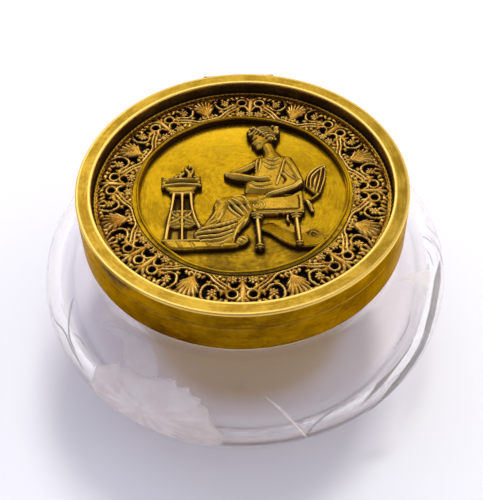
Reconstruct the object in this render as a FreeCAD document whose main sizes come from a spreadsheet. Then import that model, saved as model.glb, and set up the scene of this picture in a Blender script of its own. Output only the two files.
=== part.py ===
import FreeCAD, Part
import math
import os
import types

import Sketcher

# Round glass casket box with a gilt brass collar and a hinged relief lid.
# Millimetres, +Z up, origin in the middle of the foot, hinge at the back (+Y).

doc = FreeCAD.newDocument("casket_box")

# Driving dimensions

DIMENSIONS = {
    # glass bowl
    "bowl_radius": 70.0,
    "bulge_radius": 20.5,
    "foot_inset": 5.5,
    "foot_height": 0.8,
    "neck_radius": 51.6,
    "neck_height": 14.0,
    "neck_wall": 4.0,
    "bowl_wall": 5.0,
    "floor_thickness": 8.5,
    "shoulder_blend": 4.0,
    "neck_round": 2.5,
    # collar and its cement
    "cement_thickness": 0.9,
    "rim_cement": 0.3,
    "cement_recess": 0.5,
    "collar_wall": 1.5,
    "collar_top_thickness": 1.2,
    "collar_height": 10.5,
    "collar_edge_break": 0.3,
    # lid ring
    "seam_gap": 0.2,
    "lid_height": 6.5,
    "flange_width": 5.0,
    "ledge_width": 2.4,
    "ledge_thickness": 1.0,
    "lid_edge_break": 0.5,
    "lug_length": 4.2,
    "lug_width": 5.0,
    # pierced gallery
    "gallery_width": 14.3,
    "gallery_fit": 0.2,
    "gallery_thickness": 0.9,
    "gallery_relief": 0.7,
    "palmette_margin": 0.6,
    "palmette_width": 8.0,
    "rope_width": 1.1,
    "rope_height": 0.5,
    # plaque
    "dish_fit": 0.3,
    "dish_wall": 0.8,
    "dish_depth": 1.0,
    "plaque_sheet": 0.5,
    "frame_width": 2.4,
    "frame_height": 1.1,
    "bead_width": 0.9,
    "bead_height": 0.42,
    "bead_gap": 0.1,
    # relief castings
    "ground_relief": 1.2,
    "brazier_relief": 1.6,
    "chair_relief": 1.3,
    "figure_relief": 1.5,
    "figure_top_relief": 0.9,
    # back plate and its screws
    "plate_fit": 1.0,
    "plate_thickness": 0.8,
    "screw_radius": 0.8,
    "screw_head_radius": 1.5,
    "screw_head_height": 0.7,
    "screw_slot": 0.4,
    "screw_fit": 0.05,
    # hinge
    "knuckle_radius": 1.7,
    "knuckle_length": 5.0,
    "knuckle_gap": 0.25,
    "pin_radius": 0.8,
    "pin_fit": 0.08,
    "pin_head_radius": 1.2,
    "pin_head_length": 0.8,
    "hinge_clearance": 0.3,
    "leaf_height": 4.6,
    "leaf_proud": 1.2,
    "heel_thickness": 0.7,
    "rivet_radius": 0.5,
    "rivet_head_radius": 0.85,
    "rivet_head_height": 0.4,
    "rivet_bite": 0.9,
    "rivet_fit": 0.05,
    # length by which every cutting shape passes the face that it opens
    "overrun": 1.0,
}

SECTORS = 8
LUGS = 4
KNUCKLES = 5
STOP_ANGLE = 108.0
FULL_TURN = 360.0

sheet = doc.addObject("Spreadsheet::Sheet", "sizes")
for row, (alias, length) in enumerate(DIMENSIONS.items(), start=1):
    sheet.set(f"A{row}", str(length))
    sheet.setAlias(f"A{row}", alias)
doc.recompute()


class Size:
    """A length: its value now, and the sheet expression that it is bound to."""

    def __init__(self, value, text):
        self.value = value
        self.text = text

    @staticmethod
    def of(other):
        return other if isinstance(other, Size) else Size(float(other), repr(other))

    def __add__(self, other):
        other = Size.of(other)
        return Size(self.value + other.value, f"({self.text} + {other.text})")

    def __sub__(self, other):
        other = Size.of(other)
        return Size(self.value - other.value, f"({self.text} - {other.text})")

    def __mul__(self, other):
        other = Size.of(other)
        return Size(self.value * other.value, f"({self.text} * {other.text})")

    def __truediv__(self, other):
        other = Size.of(other)
        return Size(self.value / other.value, f"({self.text} / {other.text})")

    def __neg__(self):
        return Size(-self.value, f"(-1 * {self.text})")

    def leg(self, other):
        """The other leg of a right triangle with this hypotenuse."""
        root = math.sqrt(self.value ** 2 - other.value ** 2)
        return Size(root, f"sqrt({self.text} * {self.text} - {other.text} * {other.text})")


size = types.SimpleNamespace()
for alias in DIMENSIONS:
    setattr(size, alias, Size(float(sheet.get(alias)), f"sizes.{alias}"))
ZERO = Size(0.0, "0")

# Heights and radii that several pieces share

bulge_centre = size.bowl_radius - size.bulge_radius
bulge_height = size.foot_height + size.bulge_radius
foot_radius = bulge_centre - size.foot_inset
rim_height = bulge_height + size.bulge_radius + size.neck_height
neck_bore = size.neck_radius - size.neck_wall
collar_bore = size.neck_radius + size.cement_thickness
collar_radius = collar_bore + size.collar_wall
collar_top = rim_height + size.rim_cement + size.collar_top_thickness
collar_bottom = collar_top - size.collar_height
seam_height = collar_top + size.seam_gap
flange_bore = collar_radius - size.flange_width
ledge_bore = flange_bore - size.ledge_width
gallery_base = seam_height + size.ledge_thickness
gallery_top = gallery_base + size.gallery_thickness
gallery_radius = flange_bore - size.gallery_fit
gallery_bore = gallery_radius - size.gallery_width
dish_radius = gallery_bore - size.dish_fit
field_radius = dish_radius - size.dish_wall
field_height = gallery_top - size.dish_depth
frame_base = gallery_top + size.plaque_sheet
frame_radius = field_radius + size.frame_width
plate_top = seam_height
plate_radius = neck_bore - size.plate_fit
screw_place = ledge_bore - size.lug_length / 2
hinge_reach = collar_radius + size.hinge_clearance + size.knuckle_radius
hinge_half = size.knuckle_length * KNUCKLES / 2
heel_height = size.knuckle_radius + size.knuckle_gap


def bind(item, **sizes):
    """Ties an object's properties to the sheet."""
    for name, length in sizes.items():
        item.setExpression(name, length.text)


def place(item, x=ZERO, y=ZERO, z=ZERO):
    """Ties an object's position to the sheet."""
    for axis, length in (("x", x), ("y", y), ("z", z)):
        item.setExpression(f"Placement.Base.{axis}", length.text)


def new_body(label):
    body = doc.addObject("PartDesign::Body", label)
    body.Label = label
    return body


def new_sketch(body, name, role, height=ZERO):
    """Sketch on one of the body's own planes, raised along that plane's normal."""
    sketch = body.newObject("Sketcher::SketchObject", name)
    plane = [feature for feature in body.Origin.OriginFeatures if feature.Role == role]
    sketch.AttachmentSupport = [(plane[0], "")]
    sketch.MapMode = "FlatFace"
    sketch.setExpression("AttachmentOffset.Base.z", height.text)
    return sketch


def fix_point(sketch, geometry, end, corner):
    """Holds one end of a line or arc, or a circle's centre, at a corner."""
    for kind, length in zip(("DistanceX", "DistanceY"), corner):
        constraint = Sketcher.Constraint(kind, -1, 1, geometry, end, length.value)
        number = sketch.addConstraint(constraint)
        sketch.setExpression(f"Constraints[{number}]", length.text)


def draw_outline(sketch, corners, arcs=None):
    """Closed outline through the corners.

    arcs gives, for the edge that leaves a corner, the radius of an arc of less than half a
    circle, and 1 or -1 as its centre lies left or right of the way to the next corner.
    """
    arcs = arcs or {}
    ends = []
    for index, start in enumerate(corners):
        stop = corners[(index + 1) % len(corners)]
        first = FreeCAD.Vector(start[0].value, start[1].value, 0)
        last = FreeCAD.Vector(stop[0].value, stop[1].value, 0)
        if index not in arcs:
            number = sketch.addGeometry(Part.LineSegment(first, last), False)
            ends.append((number, 1, 2))
            continue
        radius, side = arcs[index]
        chord = last - first
        across = FreeCAD.Vector(-chord.y, chord.x, 0)
        across.normalize()
        rise = math.sqrt(radius.value ** 2 - (chord.Length / 2) ** 2)
        middle = (first + last) / 2 - across * side * (radius.value - rise)
        turning = (first, middle, last) if side > 0 else (last, middle, first)
        number = sketch.addGeometry(Part.ArcOfCircle(*turning), False)
        ends.append((number, 1, 2) if side > 0 else (number, 2, 1))
        constraint = sketch.addConstraint(Sketcher.Constraint("Radius", number, radius.value))
        sketch.setExpression(f"Constraints[{constraint}]", radius.text)
    for index, corner in enumerate(corners):
        number, start, stop = ends[index]
        before, before_start, before_stop = ends[index - 1]
        fix_point(sketch, number, start, corner)
        sketch.addConstraint(Sketcher.Constraint("Coincident", before, before_stop, number, start))


def draw_circle(sketch, centre, radius):
    point = FreeCAD.Vector(centre[0].value, centre[1].value, 0)
    circle = Part.Circle(point, FreeCAD.Vector(0, 0, 1), radius.value)
    number = sketch.addGeometry(circle, False)
    fix_point(sketch, number, 3, centre)
    constraint = sketch.addConstraint(Sketcher.Constraint("Radius", number, radius.value))
    sketch.setExpression(f"Constraints[{constraint}]", radius.text)


def turn(label, corners, arcs=None):
    """A turned piece: an outline of radius and height, revolved about the Z axis."""
    body = new_body(label)
    sketch = new_sketch(body, f"{label}_section", "XZ_Plane")
    draw_outline(sketch, corners, arcs)
    revolution = body.newObject("PartDesign::Revolution", f"{label}_turning")
    revolution.Profile = sketch
    revolution.ReferenceAxis = (sketch, ["V_Axis"])
    revolution.Angle = FULL_TURN
    return body


def extrude(body, kind, sketch, length):
    """A Pad or Pocket of a sketch."""
    feature = body.newObject(f"PartDesign::{kind}", f"{sketch.Name}_{kind.lower()}")
    feature.Profile = sketch
    bind(feature, Length=length)
    return feature


def repeat(body, feature, sketch, count):
    """Copies of a feature round the sketch's own origin."""
    pattern = body.newObject("PartDesign::PolarPattern", f"{feature.Name}_round")
    pattern.Originals = [feature]
    pattern.Axis = (sketch, ["N_Axis"])
    pattern.Angle = FULL_TURN
    pattern.Occurrences = count
    body.Tip = pattern
    return pattern


def bar(label, x, y, z, length, width, height):
    """A rectangular block from its low corner."""
    box = doc.addObject("Part::Box", label)
    bind(box, Length=length, Width=width, Height=height)
    place(box, x, y, z)
    return box


def rod(label, radius, height, direction, x=ZERO, y=ZERO, z=ZERO):
    """A round rod that starts at a point and runs along a direction."""
    cylinder = doc.addObject("Part::Cylinder", label)
    bind(cylinder, Radius=radius, Height=height)
    turn_to = FreeCAD.Rotation(FreeCAD.Vector(0, 0, 1), FreeCAD.Vector(*direction))
    cylinder.Placement = FreeCAD.Placement(FreeCAD.Vector(), turn_to)
    place(cylinder, x, y, z)
    return cylinder


def join(label, shapes):
    fused = doc.addObject("Part::MultiFuse", label)
    fused.Shapes = shapes
    return fused


def cut(label, base, tools):
    removed = doc.addObject("Part::Cut", label)
    removed.Base = base
    removed.Tool = tools[0] if len(tools) == 1 else join(f"{label}_tools", tools)
    return removed


def group(label, shapes):
    compound = doc.addObject("Part::Compound", label)
    compound.Links = shapes
    return compound


ALONG_X = (1, 0, 0)
ALONG_Y = (0, 1, 0)
ALONG_Z = (0, 0, 1)

# Glass bowl: a rounded belly on a flat foot, drawn in to a straight neck


def neck_blend(neck, blend, belly):
    """Where a blend arc leaves a straight neck and meets the belly arc below it."""
    across = neck + blend - bulge_centre
    up = (belly + blend).leg(across)
    share = belly / (belly + blend)
    return bulge_height + up, bulge_centre + across * share, bulge_height + up * share


inner_radius = size.bulge_radius - size.bowl_wall
foot_rise = bulge_height - size.bulge_radius.leg(size.foot_inset)
floor_edge = bulge_centre + inner_radius.leg(bulge_height - size.floor_thickness)
neck_foot, shoulder_radius, shoulder_height = neck_blend(
    size.neck_radius, size.shoulder_blend, size.bulge_radius)
bore_foot, vault_radius, vault_height = neck_blend(neck_bore, size.neck_round, inner_radius)

glass_bowl = turn("glass_bowl", [
    (ZERO, ZERO),
    (foot_radius, ZERO),
    (foot_radius, foot_rise),
    (size.bowl_radius, bulge_height),
    (shoulder_radius, shoulder_height),
    (size.neck_radius, neck_foot),
    (size.neck_radius, rim_height),
    (neck_bore, rim_height),
    (neck_bore, bore_foot),
    (vault_radius, vault_height),
    (size.bowl_radius - size.bowl_wall, bulge_height),
    (floor_edge, size.floor_thickness),
    (ZERO, size.floor_thickness),
], {
    2: (size.bulge_radius, 1),
    3: (size.bulge_radius, 1),
    4: (size.shoulder_blend, -1),
    8: (size.neck_round, 1),
    9: (inner_radius, -1),
    10: (inner_radius, -1),
})

# Cement bed: fills the space between the neck, the rim and the collar

cement_bed = turn("cement_bed", [
    (size.neck_radius, collar_bottom + size.cement_recess),
    (collar_bore, collar_bottom + size.cement_recess),
    (collar_bore, rim_height + size.rim_cement),
    (neck_bore, rim_height + size.rim_cement),
    (neck_bore, rim_height),
    (size.neck_radius, rim_height),
])

# Hinge places that the collar and the lid ring take their rivet holes from

RIVET_ACROSS_SHARE = 0.7
rivet_across = hinge_half * RIVET_ACROSS_SHARE
heel_top = heel_height + size.heel_thickness
rivet_drop = (heel_top + size.leaf_height) / 2
rivet_wall = collar_radius.leg(rivet_across)
leaf_face = collar_radius + size.leaf_proud


def rivet_holes(label, height):
    """Two rods along Y, as wide as a rivet with its fit, from its tip out past the wall."""
    rods = []
    for side in (-1, 1):
        rods.append(rod(f"{label}_{'left' if side < 0 else 'right'}",
                        size.rivet_radius + size.rivet_fit,
                        leaf_face - rivet_wall + size.rivet_bite + size.overrun, ALONG_Y,
                        rivet_across * side, rivet_wall - size.rivet_bite, height))
    return rods


# Collar: a spun band turned in over the rim, with its outer edges eased

collar_blank = turn("collar_blank", [
    (collar_bore, collar_bottom),
    (collar_radius - size.collar_edge_break, collar_bottom),
    (collar_radius, collar_bottom + size.collar_edge_break),
    (collar_radius, collar_top - size.collar_edge_break),
    (collar_radius - size.collar_edge_break, collar_top),
    (neck_bore, collar_top),
    (neck_bore, rim_height + size.rim_cement),
    (collar_bore, rim_height + size.rim_cement),
])
collar = cut("collar", collar_blank, rivet_holes("collar_rivet_hole", seam_height - rivet_drop))

# Lid ring: flat flange, deep bore, and a ledge with four lugs for the back plate

lid_blank = turn("lid_blank", [
    (ledge_bore, ZERO),
    (collar_radius - size.collar_edge_break, ZERO),
    (collar_radius, size.collar_edge_break),
    (collar_radius, size.lid_height - size.lid_edge_break),
    (collar_radius - size.lid_edge_break, size.lid_height),
    (flange_bore + size.lid_edge_break, size.lid_height),
    (flange_bore, size.lid_height - size.lid_edge_break),
    (flange_bore, size.ledge_thickness),
    (ledge_bore, size.ledge_thickness),
])
LUG_TURN_SHARE = 0.5
lug_turn = math.radians(FULL_TURN / SECTORS * LUG_TURN_SHARE)
lug_sketch = new_sketch(lid_blank, "lug_outline", "XY_Plane")
lug_inner = ledge_bore - size.lug_length
lug_outer = ledge_bore + size.ledge_width / 2
lug_corners = []
for reach, side in ((lug_inner, -1), (lug_outer, -1), (lug_outer, 1), (lug_inner, 1)):
    across = size.lug_width / 2 * side
    lug_corners.append((reach * math.cos(lug_turn) - across * math.sin(lug_turn),
                        reach * math.sin(lug_turn) + across * math.cos(lug_turn)))
draw_outline(lug_sketch, lug_corners)
lug_pad = extrude(lid_blank, "Pad", lug_sketch, size.ledge_thickness)
repeat(lid_blank, lug_pad, lug_sketch, LUGS)
doc.recompute()
lug_hole_sketch = new_sketch(lid_blank, "lug_hole_outline", "XY_Plane")
draw_circle(lug_hole_sketch, (screw_place * math.cos(lug_turn), screw_place * math.sin(lug_turn)),
            size.screw_radius + size.screw_fit)
lug_hole = extrude(lid_blank, "Pocket", lug_hole_sketch, size.ledge_thickness)
lug_hole.Reversed = True
repeat(lid_blank, lug_hole, lug_hole_sketch, LUGS)
place(lid_blank, z=seam_height)
lid_ring = cut("lid_ring", lid_blank, rivet_holes("lid_rivet_hole", seam_height + rivet_drop))

# Gallery: a cast pierced band, eight times a palmette between scrolls with rosettes

sector = FULL_TURN / SECTORS

# Round openings of half a sector: place across the band, turn within the sector, radius
# as a share of the band's width
OPENING_SHARES = (
    (0.30, 0.085, 0.085),
    (0.68, 0.085, 0.085),
    (0.14, 0.19, 0.075),
    (0.86, 0.19, 0.075),
    (0.30, 0.21, 0.070),
    (0.70, 0.33, 0.070),
    (0.12, 0.33, 0.080),
    (0.88, 0.36, 0.070),
    (0.10, 0.44, 0.065),
)
# Rosette of each scroll: place across the band, turn within the sector, radius share
ROSETTE_SHARES = (0.52, 0.25, 0.12)


def band_point(across_share, turn_share):
    """A point of the gallery from its shares of the band's width and of a sector."""
    reach = gallery_bore + size.gallery_width * across_share
    turned = math.radians(sector * turn_share)
    return reach * math.cos(turned), reach * math.sin(turned)


gallery = turn("gallery", [
    (gallery_bore, ZERO),
    (gallery_radius, ZERO),
    (gallery_radius, size.gallery_thickness),
    (gallery_bore, size.gallery_thickness),
])
opening_sketch = new_sketch(gallery, "opening_outlines", "XY_Plane")
rosette_sketch = new_sketch(gallery, "rosette_outlines", "XY_Plane", size.gallery_thickness)
for side in (-1, 1):
    for across_share, turn_share, radius_share in OPENING_SHARES:
        draw_circle(opening_sketch, band_point(across_share, turn_share * side),
                    size.gallery_width * radius_share)
    across_share, turn_share, radius_share = ROSETTE_SHARES
    draw_circle(rosette_sketch, band_point(across_share, turn_share * side),
                size.gallery_width * radius_share)
opening_pocket = extrude(gallery, "Pocket", opening_sketch, size.gallery_thickness)
opening_pocket.Reversed = True
repeat(gallery, opening_pocket, opening_sketch, SECTORS)
doc.recompute()
rosette_pad = extrude(gallery, "Pad", rosette_sketch, size.gallery_relief)
repeat(gallery, rosette_pad, rosette_sketch, SECTORS)
doc.recompute()

# Palmette outline: shares of its height and of half its width, lobe by lobe from the foot
PALMETTE_SHARES = (
    (0.0, 0.16), (0.22, 0.30), (0.30, 0.92), (0.46, 0.62), (0.66, 0.96), (0.74, 0.46),
    (0.90, 0.52), (1.0, 0.0),
)
palmette_turn = math.radians(sector / 2)
palmette_foot = frame_radius + size.bead_gap + size.bead_width + size.palmette_margin
palmette_tip = gallery_radius - size.rope_width - size.palmette_margin
palmette_height = palmette_tip - palmette_foot
palmette_corners = []
for side, shares in ((-1, PALMETTE_SHARES), (1, PALMETTE_SHARES[-2::-1])):
    for along_share, across_share in shares:
        reach = palmette_foot + palmette_height * along_share
        across = size.palmette_width * across_share / 2 * side
        palmette_corners.append(
            (reach * math.cos(palmette_turn) - across * math.sin(palmette_turn),
             reach * math.sin(palmette_turn) + across * math.cos(palmette_turn)))
palmette_sketch = new_sketch(gallery, "palmette_outline", "XY_Plane", size.gallery_thickness)
draw_outline(palmette_sketch, palmette_corners)
palmette_pad = extrude(gallery, "Pad", palmette_sketch, size.gallery_relief)
repeat(gallery, palmette_pad, palmette_sketch, SECTORS)
place(gallery, z=gallery_base)


# Section of a raised ring: shares of its width and height, a half round worked in flats
RING_SHARES = ((0.0, 0.0), (1.0, 0.0), (0.86, 0.7), (0.66, 1.0), (0.34, 1.0), (0.14, 0.7))


def raised_ring(label, inner, width, height, base):
    """A ring that lies flat on its base and is rounded above."""
    ring = turn(label, [(inner + width * across, height * up) for across, up in RING_SHARES])
    place(ring, z=base)
    return ring


# Rope edge: a twisted wire soldered round the outside of the gallery

gallery_rope = raised_ring("gallery_rope", gallery_radius - size.rope_width, size.rope_width,
                           size.rope_height, gallery_top)

# Plaque: a spun dish whose flange lies on the gallery and whose field lies below it

plaque = turn("plaque", [
    (ZERO, -size.dish_depth - size.dish_wall),
    (dish_radius, -size.dish_depth - size.dish_wall),
    (dish_radius, ZERO),
    (frame_radius, ZERO),
    (frame_radius, size.plaque_sheet),
    (field_radius, size.plaque_sheet),
    (field_radius, -size.dish_depth),
    (ZERO, -size.dish_depth),
])
place(plaque, z=gallery_top)

# Plaque frame and its milled wire

plaque_frame = raised_ring("plaque_frame", field_radius, size.frame_width, size.frame_height,
                           frame_base)
plaque_bead = raised_ring("plaque_bead", frame_radius + size.bead_gap, size.bead_width,
                          size.bead_height, gallery_top)

# Relief castings: each is soldered to the field of the plaque.
# Places are shares of the field's radius, from its middle, right and up.


def field_outline(shares):
    """Corners of an outline on the field."""
    return [(field_radius * right, field_radius * up) for right, up in shares]


def cast(label, layers):
    """A casting: flat layers, each an outline with its foot and its height."""
    body = new_body(label)
    for number, (corners, arcs, foot, height) in enumerate(layers):
        sketch = new_sketch(body, f"{label}_outline_{number}", "XY_Plane", foot)
        draw_outline(sketch, corners, arcs)
        extrude(body, "Pad", sketch, height)
        doc.recompute()
    place(body, z=field_height)
    return body


GROUND_SHARES = ((-0.70, -0.69), (-0.73, -0.64), (-0.02, -0.655), (-0.02, -0.715))
relief_ground = cast("relief_ground", [
    (field_outline(GROUND_SHARES), None, ZERO, size.ground_relief),
])

# Brazier: three legs with a panel between them, a shallow bowl, and a flame
BRAZIER_LEG_SHARES = (
    (-0.72, -0.635), (-0.66, -0.02), (-0.45, -0.02), (-0.42, -0.635), (-0.475, -0.635),
    (-0.50, -0.42), (-0.635, -0.42), (-0.655, -0.635),
)
BRAZIER_BOWL_SHARES = (
    (-0.66, -0.02), (-0.70, 0.06), (-0.72, 0.10), (-0.79, 0.20), (-0.70, 0.14), (-0.64, 0.17),
    (-0.46, 0.17), (-0.40, 0.14), (-0.37, 0.20), (-0.40, 0.06), (-0.45, -0.02),
)
FLAME_SHARES = ((-0.64, 0.17), (-0.58, 0.30), (-0.53, 0.46), (-0.50, 0.30), (-0.46, 0.17))
brazier = cast("brazier", [
    (field_outline(BRAZIER_LEG_SHARES), None, ZERO, size.brazier_relief),
    (field_outline(BRAZIER_BOWL_SHARES), None, ZERO, size.brazier_relief),
    (field_outline(FLAME_SHARES), None, ZERO, size.brazier_relief),
])

# Seated woman in profile: drapery and body below, then the nearer arm, lap and head above
BODY_SHARES = (
    (-0.40, -0.635), (-0.34, -0.52), (-0.24, -0.36), (-0.27, -0.22), (-0.20, -0.07),
    (-0.06, -0.03), (0.06, -0.03), (0.05, 0.16), (0.10, 0.32), (0.20, 0.44), (0.26, 0.50),
    (0.38, 0.50), (0.44, 0.44), (0.56, 0.38), (0.60, 0.20), (0.60, 0.04), (0.56, -0.02),
    (0.12, -0.06), (0.10, -0.40), (0.04, -0.62), (-0.02, -0.635),
)
ARM_SHARES = (
    (-0.16, 0.25), (-0.10, 0.16), (0.10, 0.11), (0.22, 0.13), (0.22, 0.19), (0.06, 0.22),
    (-0.08, 0.28),
)
LAP_SHARES = (
    (-0.24, -0.20), (-0.18, -0.09), (0.02, -0.06), (0.10, -0.12), (0.08, -0.26), (-0.14, -0.30),
)
HEAD_MIDDLE_SHARES = (0.245, 0.75)
HEAD_RADIUS_SHARE = 0.17


def circle_corners(middle_shares, radius_share):
    """Four corners of a circle on the field, and the arcs that join them."""
    radius = field_radius * radius_share
    right, up = (field_radius * share for share in middle_shares)
    corners = [(right + radius, up), (right, up + radius), (right - radius, up),
               (right, up - radius)]
    return corners, {number: (radius, 1) for number in range(len(corners))}


NECK_SHARES = ((0.22, 0.46), (0.20, 0.62), (0.34, 0.62), (0.38, 0.46))
head_corners, head_arcs = circle_corners(HEAD_MIDDLE_SHARES, HEAD_RADIUS_SHARE)
seated_woman = cast("seated_woman", [
    (field_outline(BODY_SHARES), None, ZERO, size.figure_relief),
    (field_outline(NECK_SHARES), None, ZERO, size.figure_relief),
    (head_corners, head_arcs, ZERO, size.figure_relief),
    (field_outline(ARM_SHARES), None, ZERO, size.figure_relief + size.figure_top_relief),
    (field_outline(LAP_SHARES), None, ZERO, size.figure_relief + size.figure_top_relief),
])

# Chair: seat rail, two turned legs, and a curved back behind the figure
CHAIR_SEAT_SHARES = (
    (0.125, -0.07), (0.57, -0.03), (0.60, -0.27), (0.58, -0.72), (0.51, -0.72), (0.50, -0.29),
    (0.19, -0.29), (0.18, -0.74), (0.12, -0.74), (0.115, -0.42),
)
CHAIR_BACK_SHARES = (
    (0.575, -0.10), (0.62, 0.02), (0.62, 0.22), (0.74, 0.32), (0.84, 0.33), (0.80, 0.08),
    (0.71, -0.08), (0.58, -0.20),
)
chair = cast("chair", [
    (field_outline(CHAIR_SEAT_SHARES), None, ZERO, size.chair_relief),
    (field_outline(CHAIR_BACK_SHARES), None, ZERO, size.chair_relief),
])

# Back plate: a flat disc under the ledge that closes the lid and drops into the mouth

lid_back_plate = turn("lid_back_plate", [
    (ZERO, -size.plate_thickness),
    (plate_radius, -size.plate_thickness),
    (plate_radius, ZERO),
    (ZERO, ZERO),
])
plate_hole_sketch = new_sketch(lid_back_plate, "plate_hole_outline", "XY_Plane")
draw_circle(plate_hole_sketch,
            (screw_place * math.cos(lug_turn), screw_place * math.sin(lug_turn)),
            size.screw_radius + size.screw_fit)
plate_hole = extrude(lid_back_plate, "Pocket", plate_hole_sketch, size.plate_thickness)
repeat(lid_back_plate, plate_hole, plate_hole_sketch, LUGS)
place(lid_back_plate, z=plate_top)

# Back plate screws: slotted cheese heads under the plate, threaded into the lugs

screws = []
for number in range(LUGS):
    turned = lug_turn + math.radians(FULL_TURN / LUGS * number)
    right = screw_place * math.cos(turned)
    back = screw_place * math.sin(turned)
    head_top = plate_top - size.plate_thickness
    head_bottom = head_top - size.screw_head_height
    head = rod(f"screw_head_{number}", size.screw_head_radius, size.screw_head_height, ALONG_Z,
               right, back, head_bottom)
    shank = rod(f"screw_shank_{number}", size.screw_radius,
                size.plate_thickness + size.ledge_thickness, ALONG_Z, right, back, head_top)
    slot = bar(f"screw_slot_{number}", right - size.screw_head_radius - size.overrun,
               back - size.screw_slot / 2, head_bottom - size.overrun,
               (size.screw_head_radius + size.overrun) * 2, size.screw_slot,
               size.overrun + size.screw_head_height / 2)
    screws.append(cut(f"screw_{number}", join(f"screw_blank_{number}", [head, shank]), [slot]))
lid_screws = group("lid_screws", screws)

# Hinge: leaves with five knuckles in turn, on a pin along X behind the seam.
# Each leaf has a heel past the knuckles; the two heels meet at the stop angle.

stop_turn = math.radians(STOP_ANGLE)
heel_reach = heel_height * ((1 + math.cos(stop_turn)) / math.sin(stop_turn))


def hinge_leaf(label, side, own_knuckles):
    """One leaf: side is 1 above the seam and -1 below it."""
    low = seam_height if side > 0 else seam_height - size.leaf_height
    heel_low = (seam_height + heel_height if side > 0
                else seam_height - heel_top)
    wing = bar(f"{label}_wing", -hinge_half, rivet_wall - size.overrun, low, hinge_half * 2,
               leaf_face - rivet_wall + size.overrun, size.leaf_height)
    heel = bar(f"{label}_heel", -hinge_half, rivet_wall, heel_low, hinge_half * 2,
               hinge_reach + heel_reach - rivet_wall, size.heel_thickness)
    knuckles = []
    reliefs = []
    for number in range(KNUCKLES):
        left = -hinge_half + size.knuckle_length * number
        if number in own_knuckles:
            inset = size.knuckle_gap / 2
            start = left if number == 0 else left + inset
            stop = left + size.knuckle_length - (ZERO if number == KNUCKLES - 1 else inset)
            knuckles.append(rod(f"{label}_knuckle_{number}", size.knuckle_radius, stop - start,
                                ALONG_X, start, hinge_reach, seam_height))
            web_low = seam_height if side > 0 else seam_height - heel_height
            knuckles.append(bar(f"{label}_web_{number}", start,
                                hinge_reach - size.pin_radius - size.pin_fit, web_low,
                                stop - start, (size.pin_radius + size.pin_fit) * 2,
                                heel_height))
        else:
            reliefs.append(rod(f"{label}_relief_{number}", heel_height,
                               size.knuckle_length + size.knuckle_gap, ALONG_X,
                               left - size.knuckle_gap / 2, hinge_reach, seam_height))
    gap_low = seam_height - size.hinge_clearance if side < 0 else seam_height - size.overrun
    gap_high = seam_height + size.overrun if side < 0 else seam_height + size.hinge_clearance
    seam_cut = bar(f"{label}_seam_cut", -hinge_half - size.overrun, rivet_wall - size.overrun * 2,
                   gap_low, (hinge_half + size.overrun) * 2,
                   leaf_face - rivet_wall + size.overrun * 2, gap_high - gap_low)
    wall = rod(f"{label}_wall", collar_radius, size.leaf_height * 2 + size.overrun * 2, ALONG_Z,
               z=seam_height - size.leaf_height - size.overrun)
    blank = cut(f"{label}_blank", join(f"{label}_plates", [wing, heel]), [seam_cut] + reliefs)
    pin_hole = rod(f"{label}_pin_hole", size.pin_radius + size.pin_fit,
                   (hinge_half + size.overrun) * 2, ALONG_X, -hinge_half - size.overrun,
                   hinge_reach, seam_height)
    holes = rivet_holes(f"{label}_rivet_hole", seam_height + rivet_drop * side)
    return cut(label, join(f"{label}_whole", [blank] + knuckles), [wall, pin_hole] + holes)


hinge_leaf_lower = hinge_leaf("hinge_leaf_lower", -1, range(0, KNUCKLES, 2))
hinge_leaf_upper = hinge_leaf("hinge_leaf_upper", 1, range(1, KNUCKLES, 2))

pin_shank = rod("pin_shank", size.pin_radius, hinge_half * 2, ALONG_X, -hinge_half, hinge_reach,
                seam_height)
pin_heads = []
for name, start in (("left", -hinge_half - size.pin_head_length), ("right", hinge_half)):
    pin_heads.append(rod(f"pin_head_{name}", size.pin_head_radius, size.pin_head_length, ALONG_X,
                         start, hinge_reach, seam_height))
hinge_pin = join("hinge_pin", [pin_shank] + pin_heads)


def hinge_rivets(label, side):
    """Two round-headed rivets through a leaf into the brass behind it."""
    rivets = []
    for hand in (-1, 1):
        name = f"{label}_{'left' if hand < 0 else 'right'}"
        height = seam_height + rivet_drop * side
        shank = rod(f"{name}_shank", size.rivet_radius, leaf_face - rivet_wall + size.rivet_bite,
                    ALONG_Y, rivet_across * hand, rivet_wall - size.rivet_bite, height)
        head = rod(f"{name}_head", size.rivet_head_radius, size.rivet_head_height, ALONG_Y,
                   rivet_across * hand, leaf_face, height)
        rivets.append(join(name, [shank, head]))
    return group(label, rivets)


hinge_rivets_lower = hinge_rivets("hinge_rivets_lower", -1)
hinge_rivets_upper = hinge_rivets("hinge_rivets_upper", 1)

# Check and write every sub-part

doc.recompute()
failed = [item.Name for item in doc.Objects if {"Invalid", "Error"} & set(item.State)]
if failed:
    raise RuntimeError(f"objects that failed to build: {failed}")

pieces = [
    glass_bowl, cement_bed, collar, hinge_leaf_lower, hinge_rivets_lower, hinge_pin, lid_ring,
    hinge_leaf_upper, hinge_rivets_upper, gallery, gallery_rope, plaque, plaque_frame, plaque_bead,
    relief_ground, brazier, seated_woman, chair, lid_back_plate, lid_screws,
]
for piece in pieces:
    if piece.Shape.isNull() or not piece.Shape.isValid() or not piece.Shape.Solids:
        raise RuntimeError(f"{piece.Label} has no valid solid")

os.makedirs("parts", exist_ok=True)
for piece in pieces:
    piece.Shape.exportStep(os.path.join("parts", f"{piece.Label}.step"))
    print(f"{piece.Label}: {len(piece.Shape.Solids)} solid(s), {piece.Shape.Volume:.1f} mm3")
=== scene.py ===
import math

import bpy
import numpy as np
from mathutils import Matrix, Vector


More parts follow.
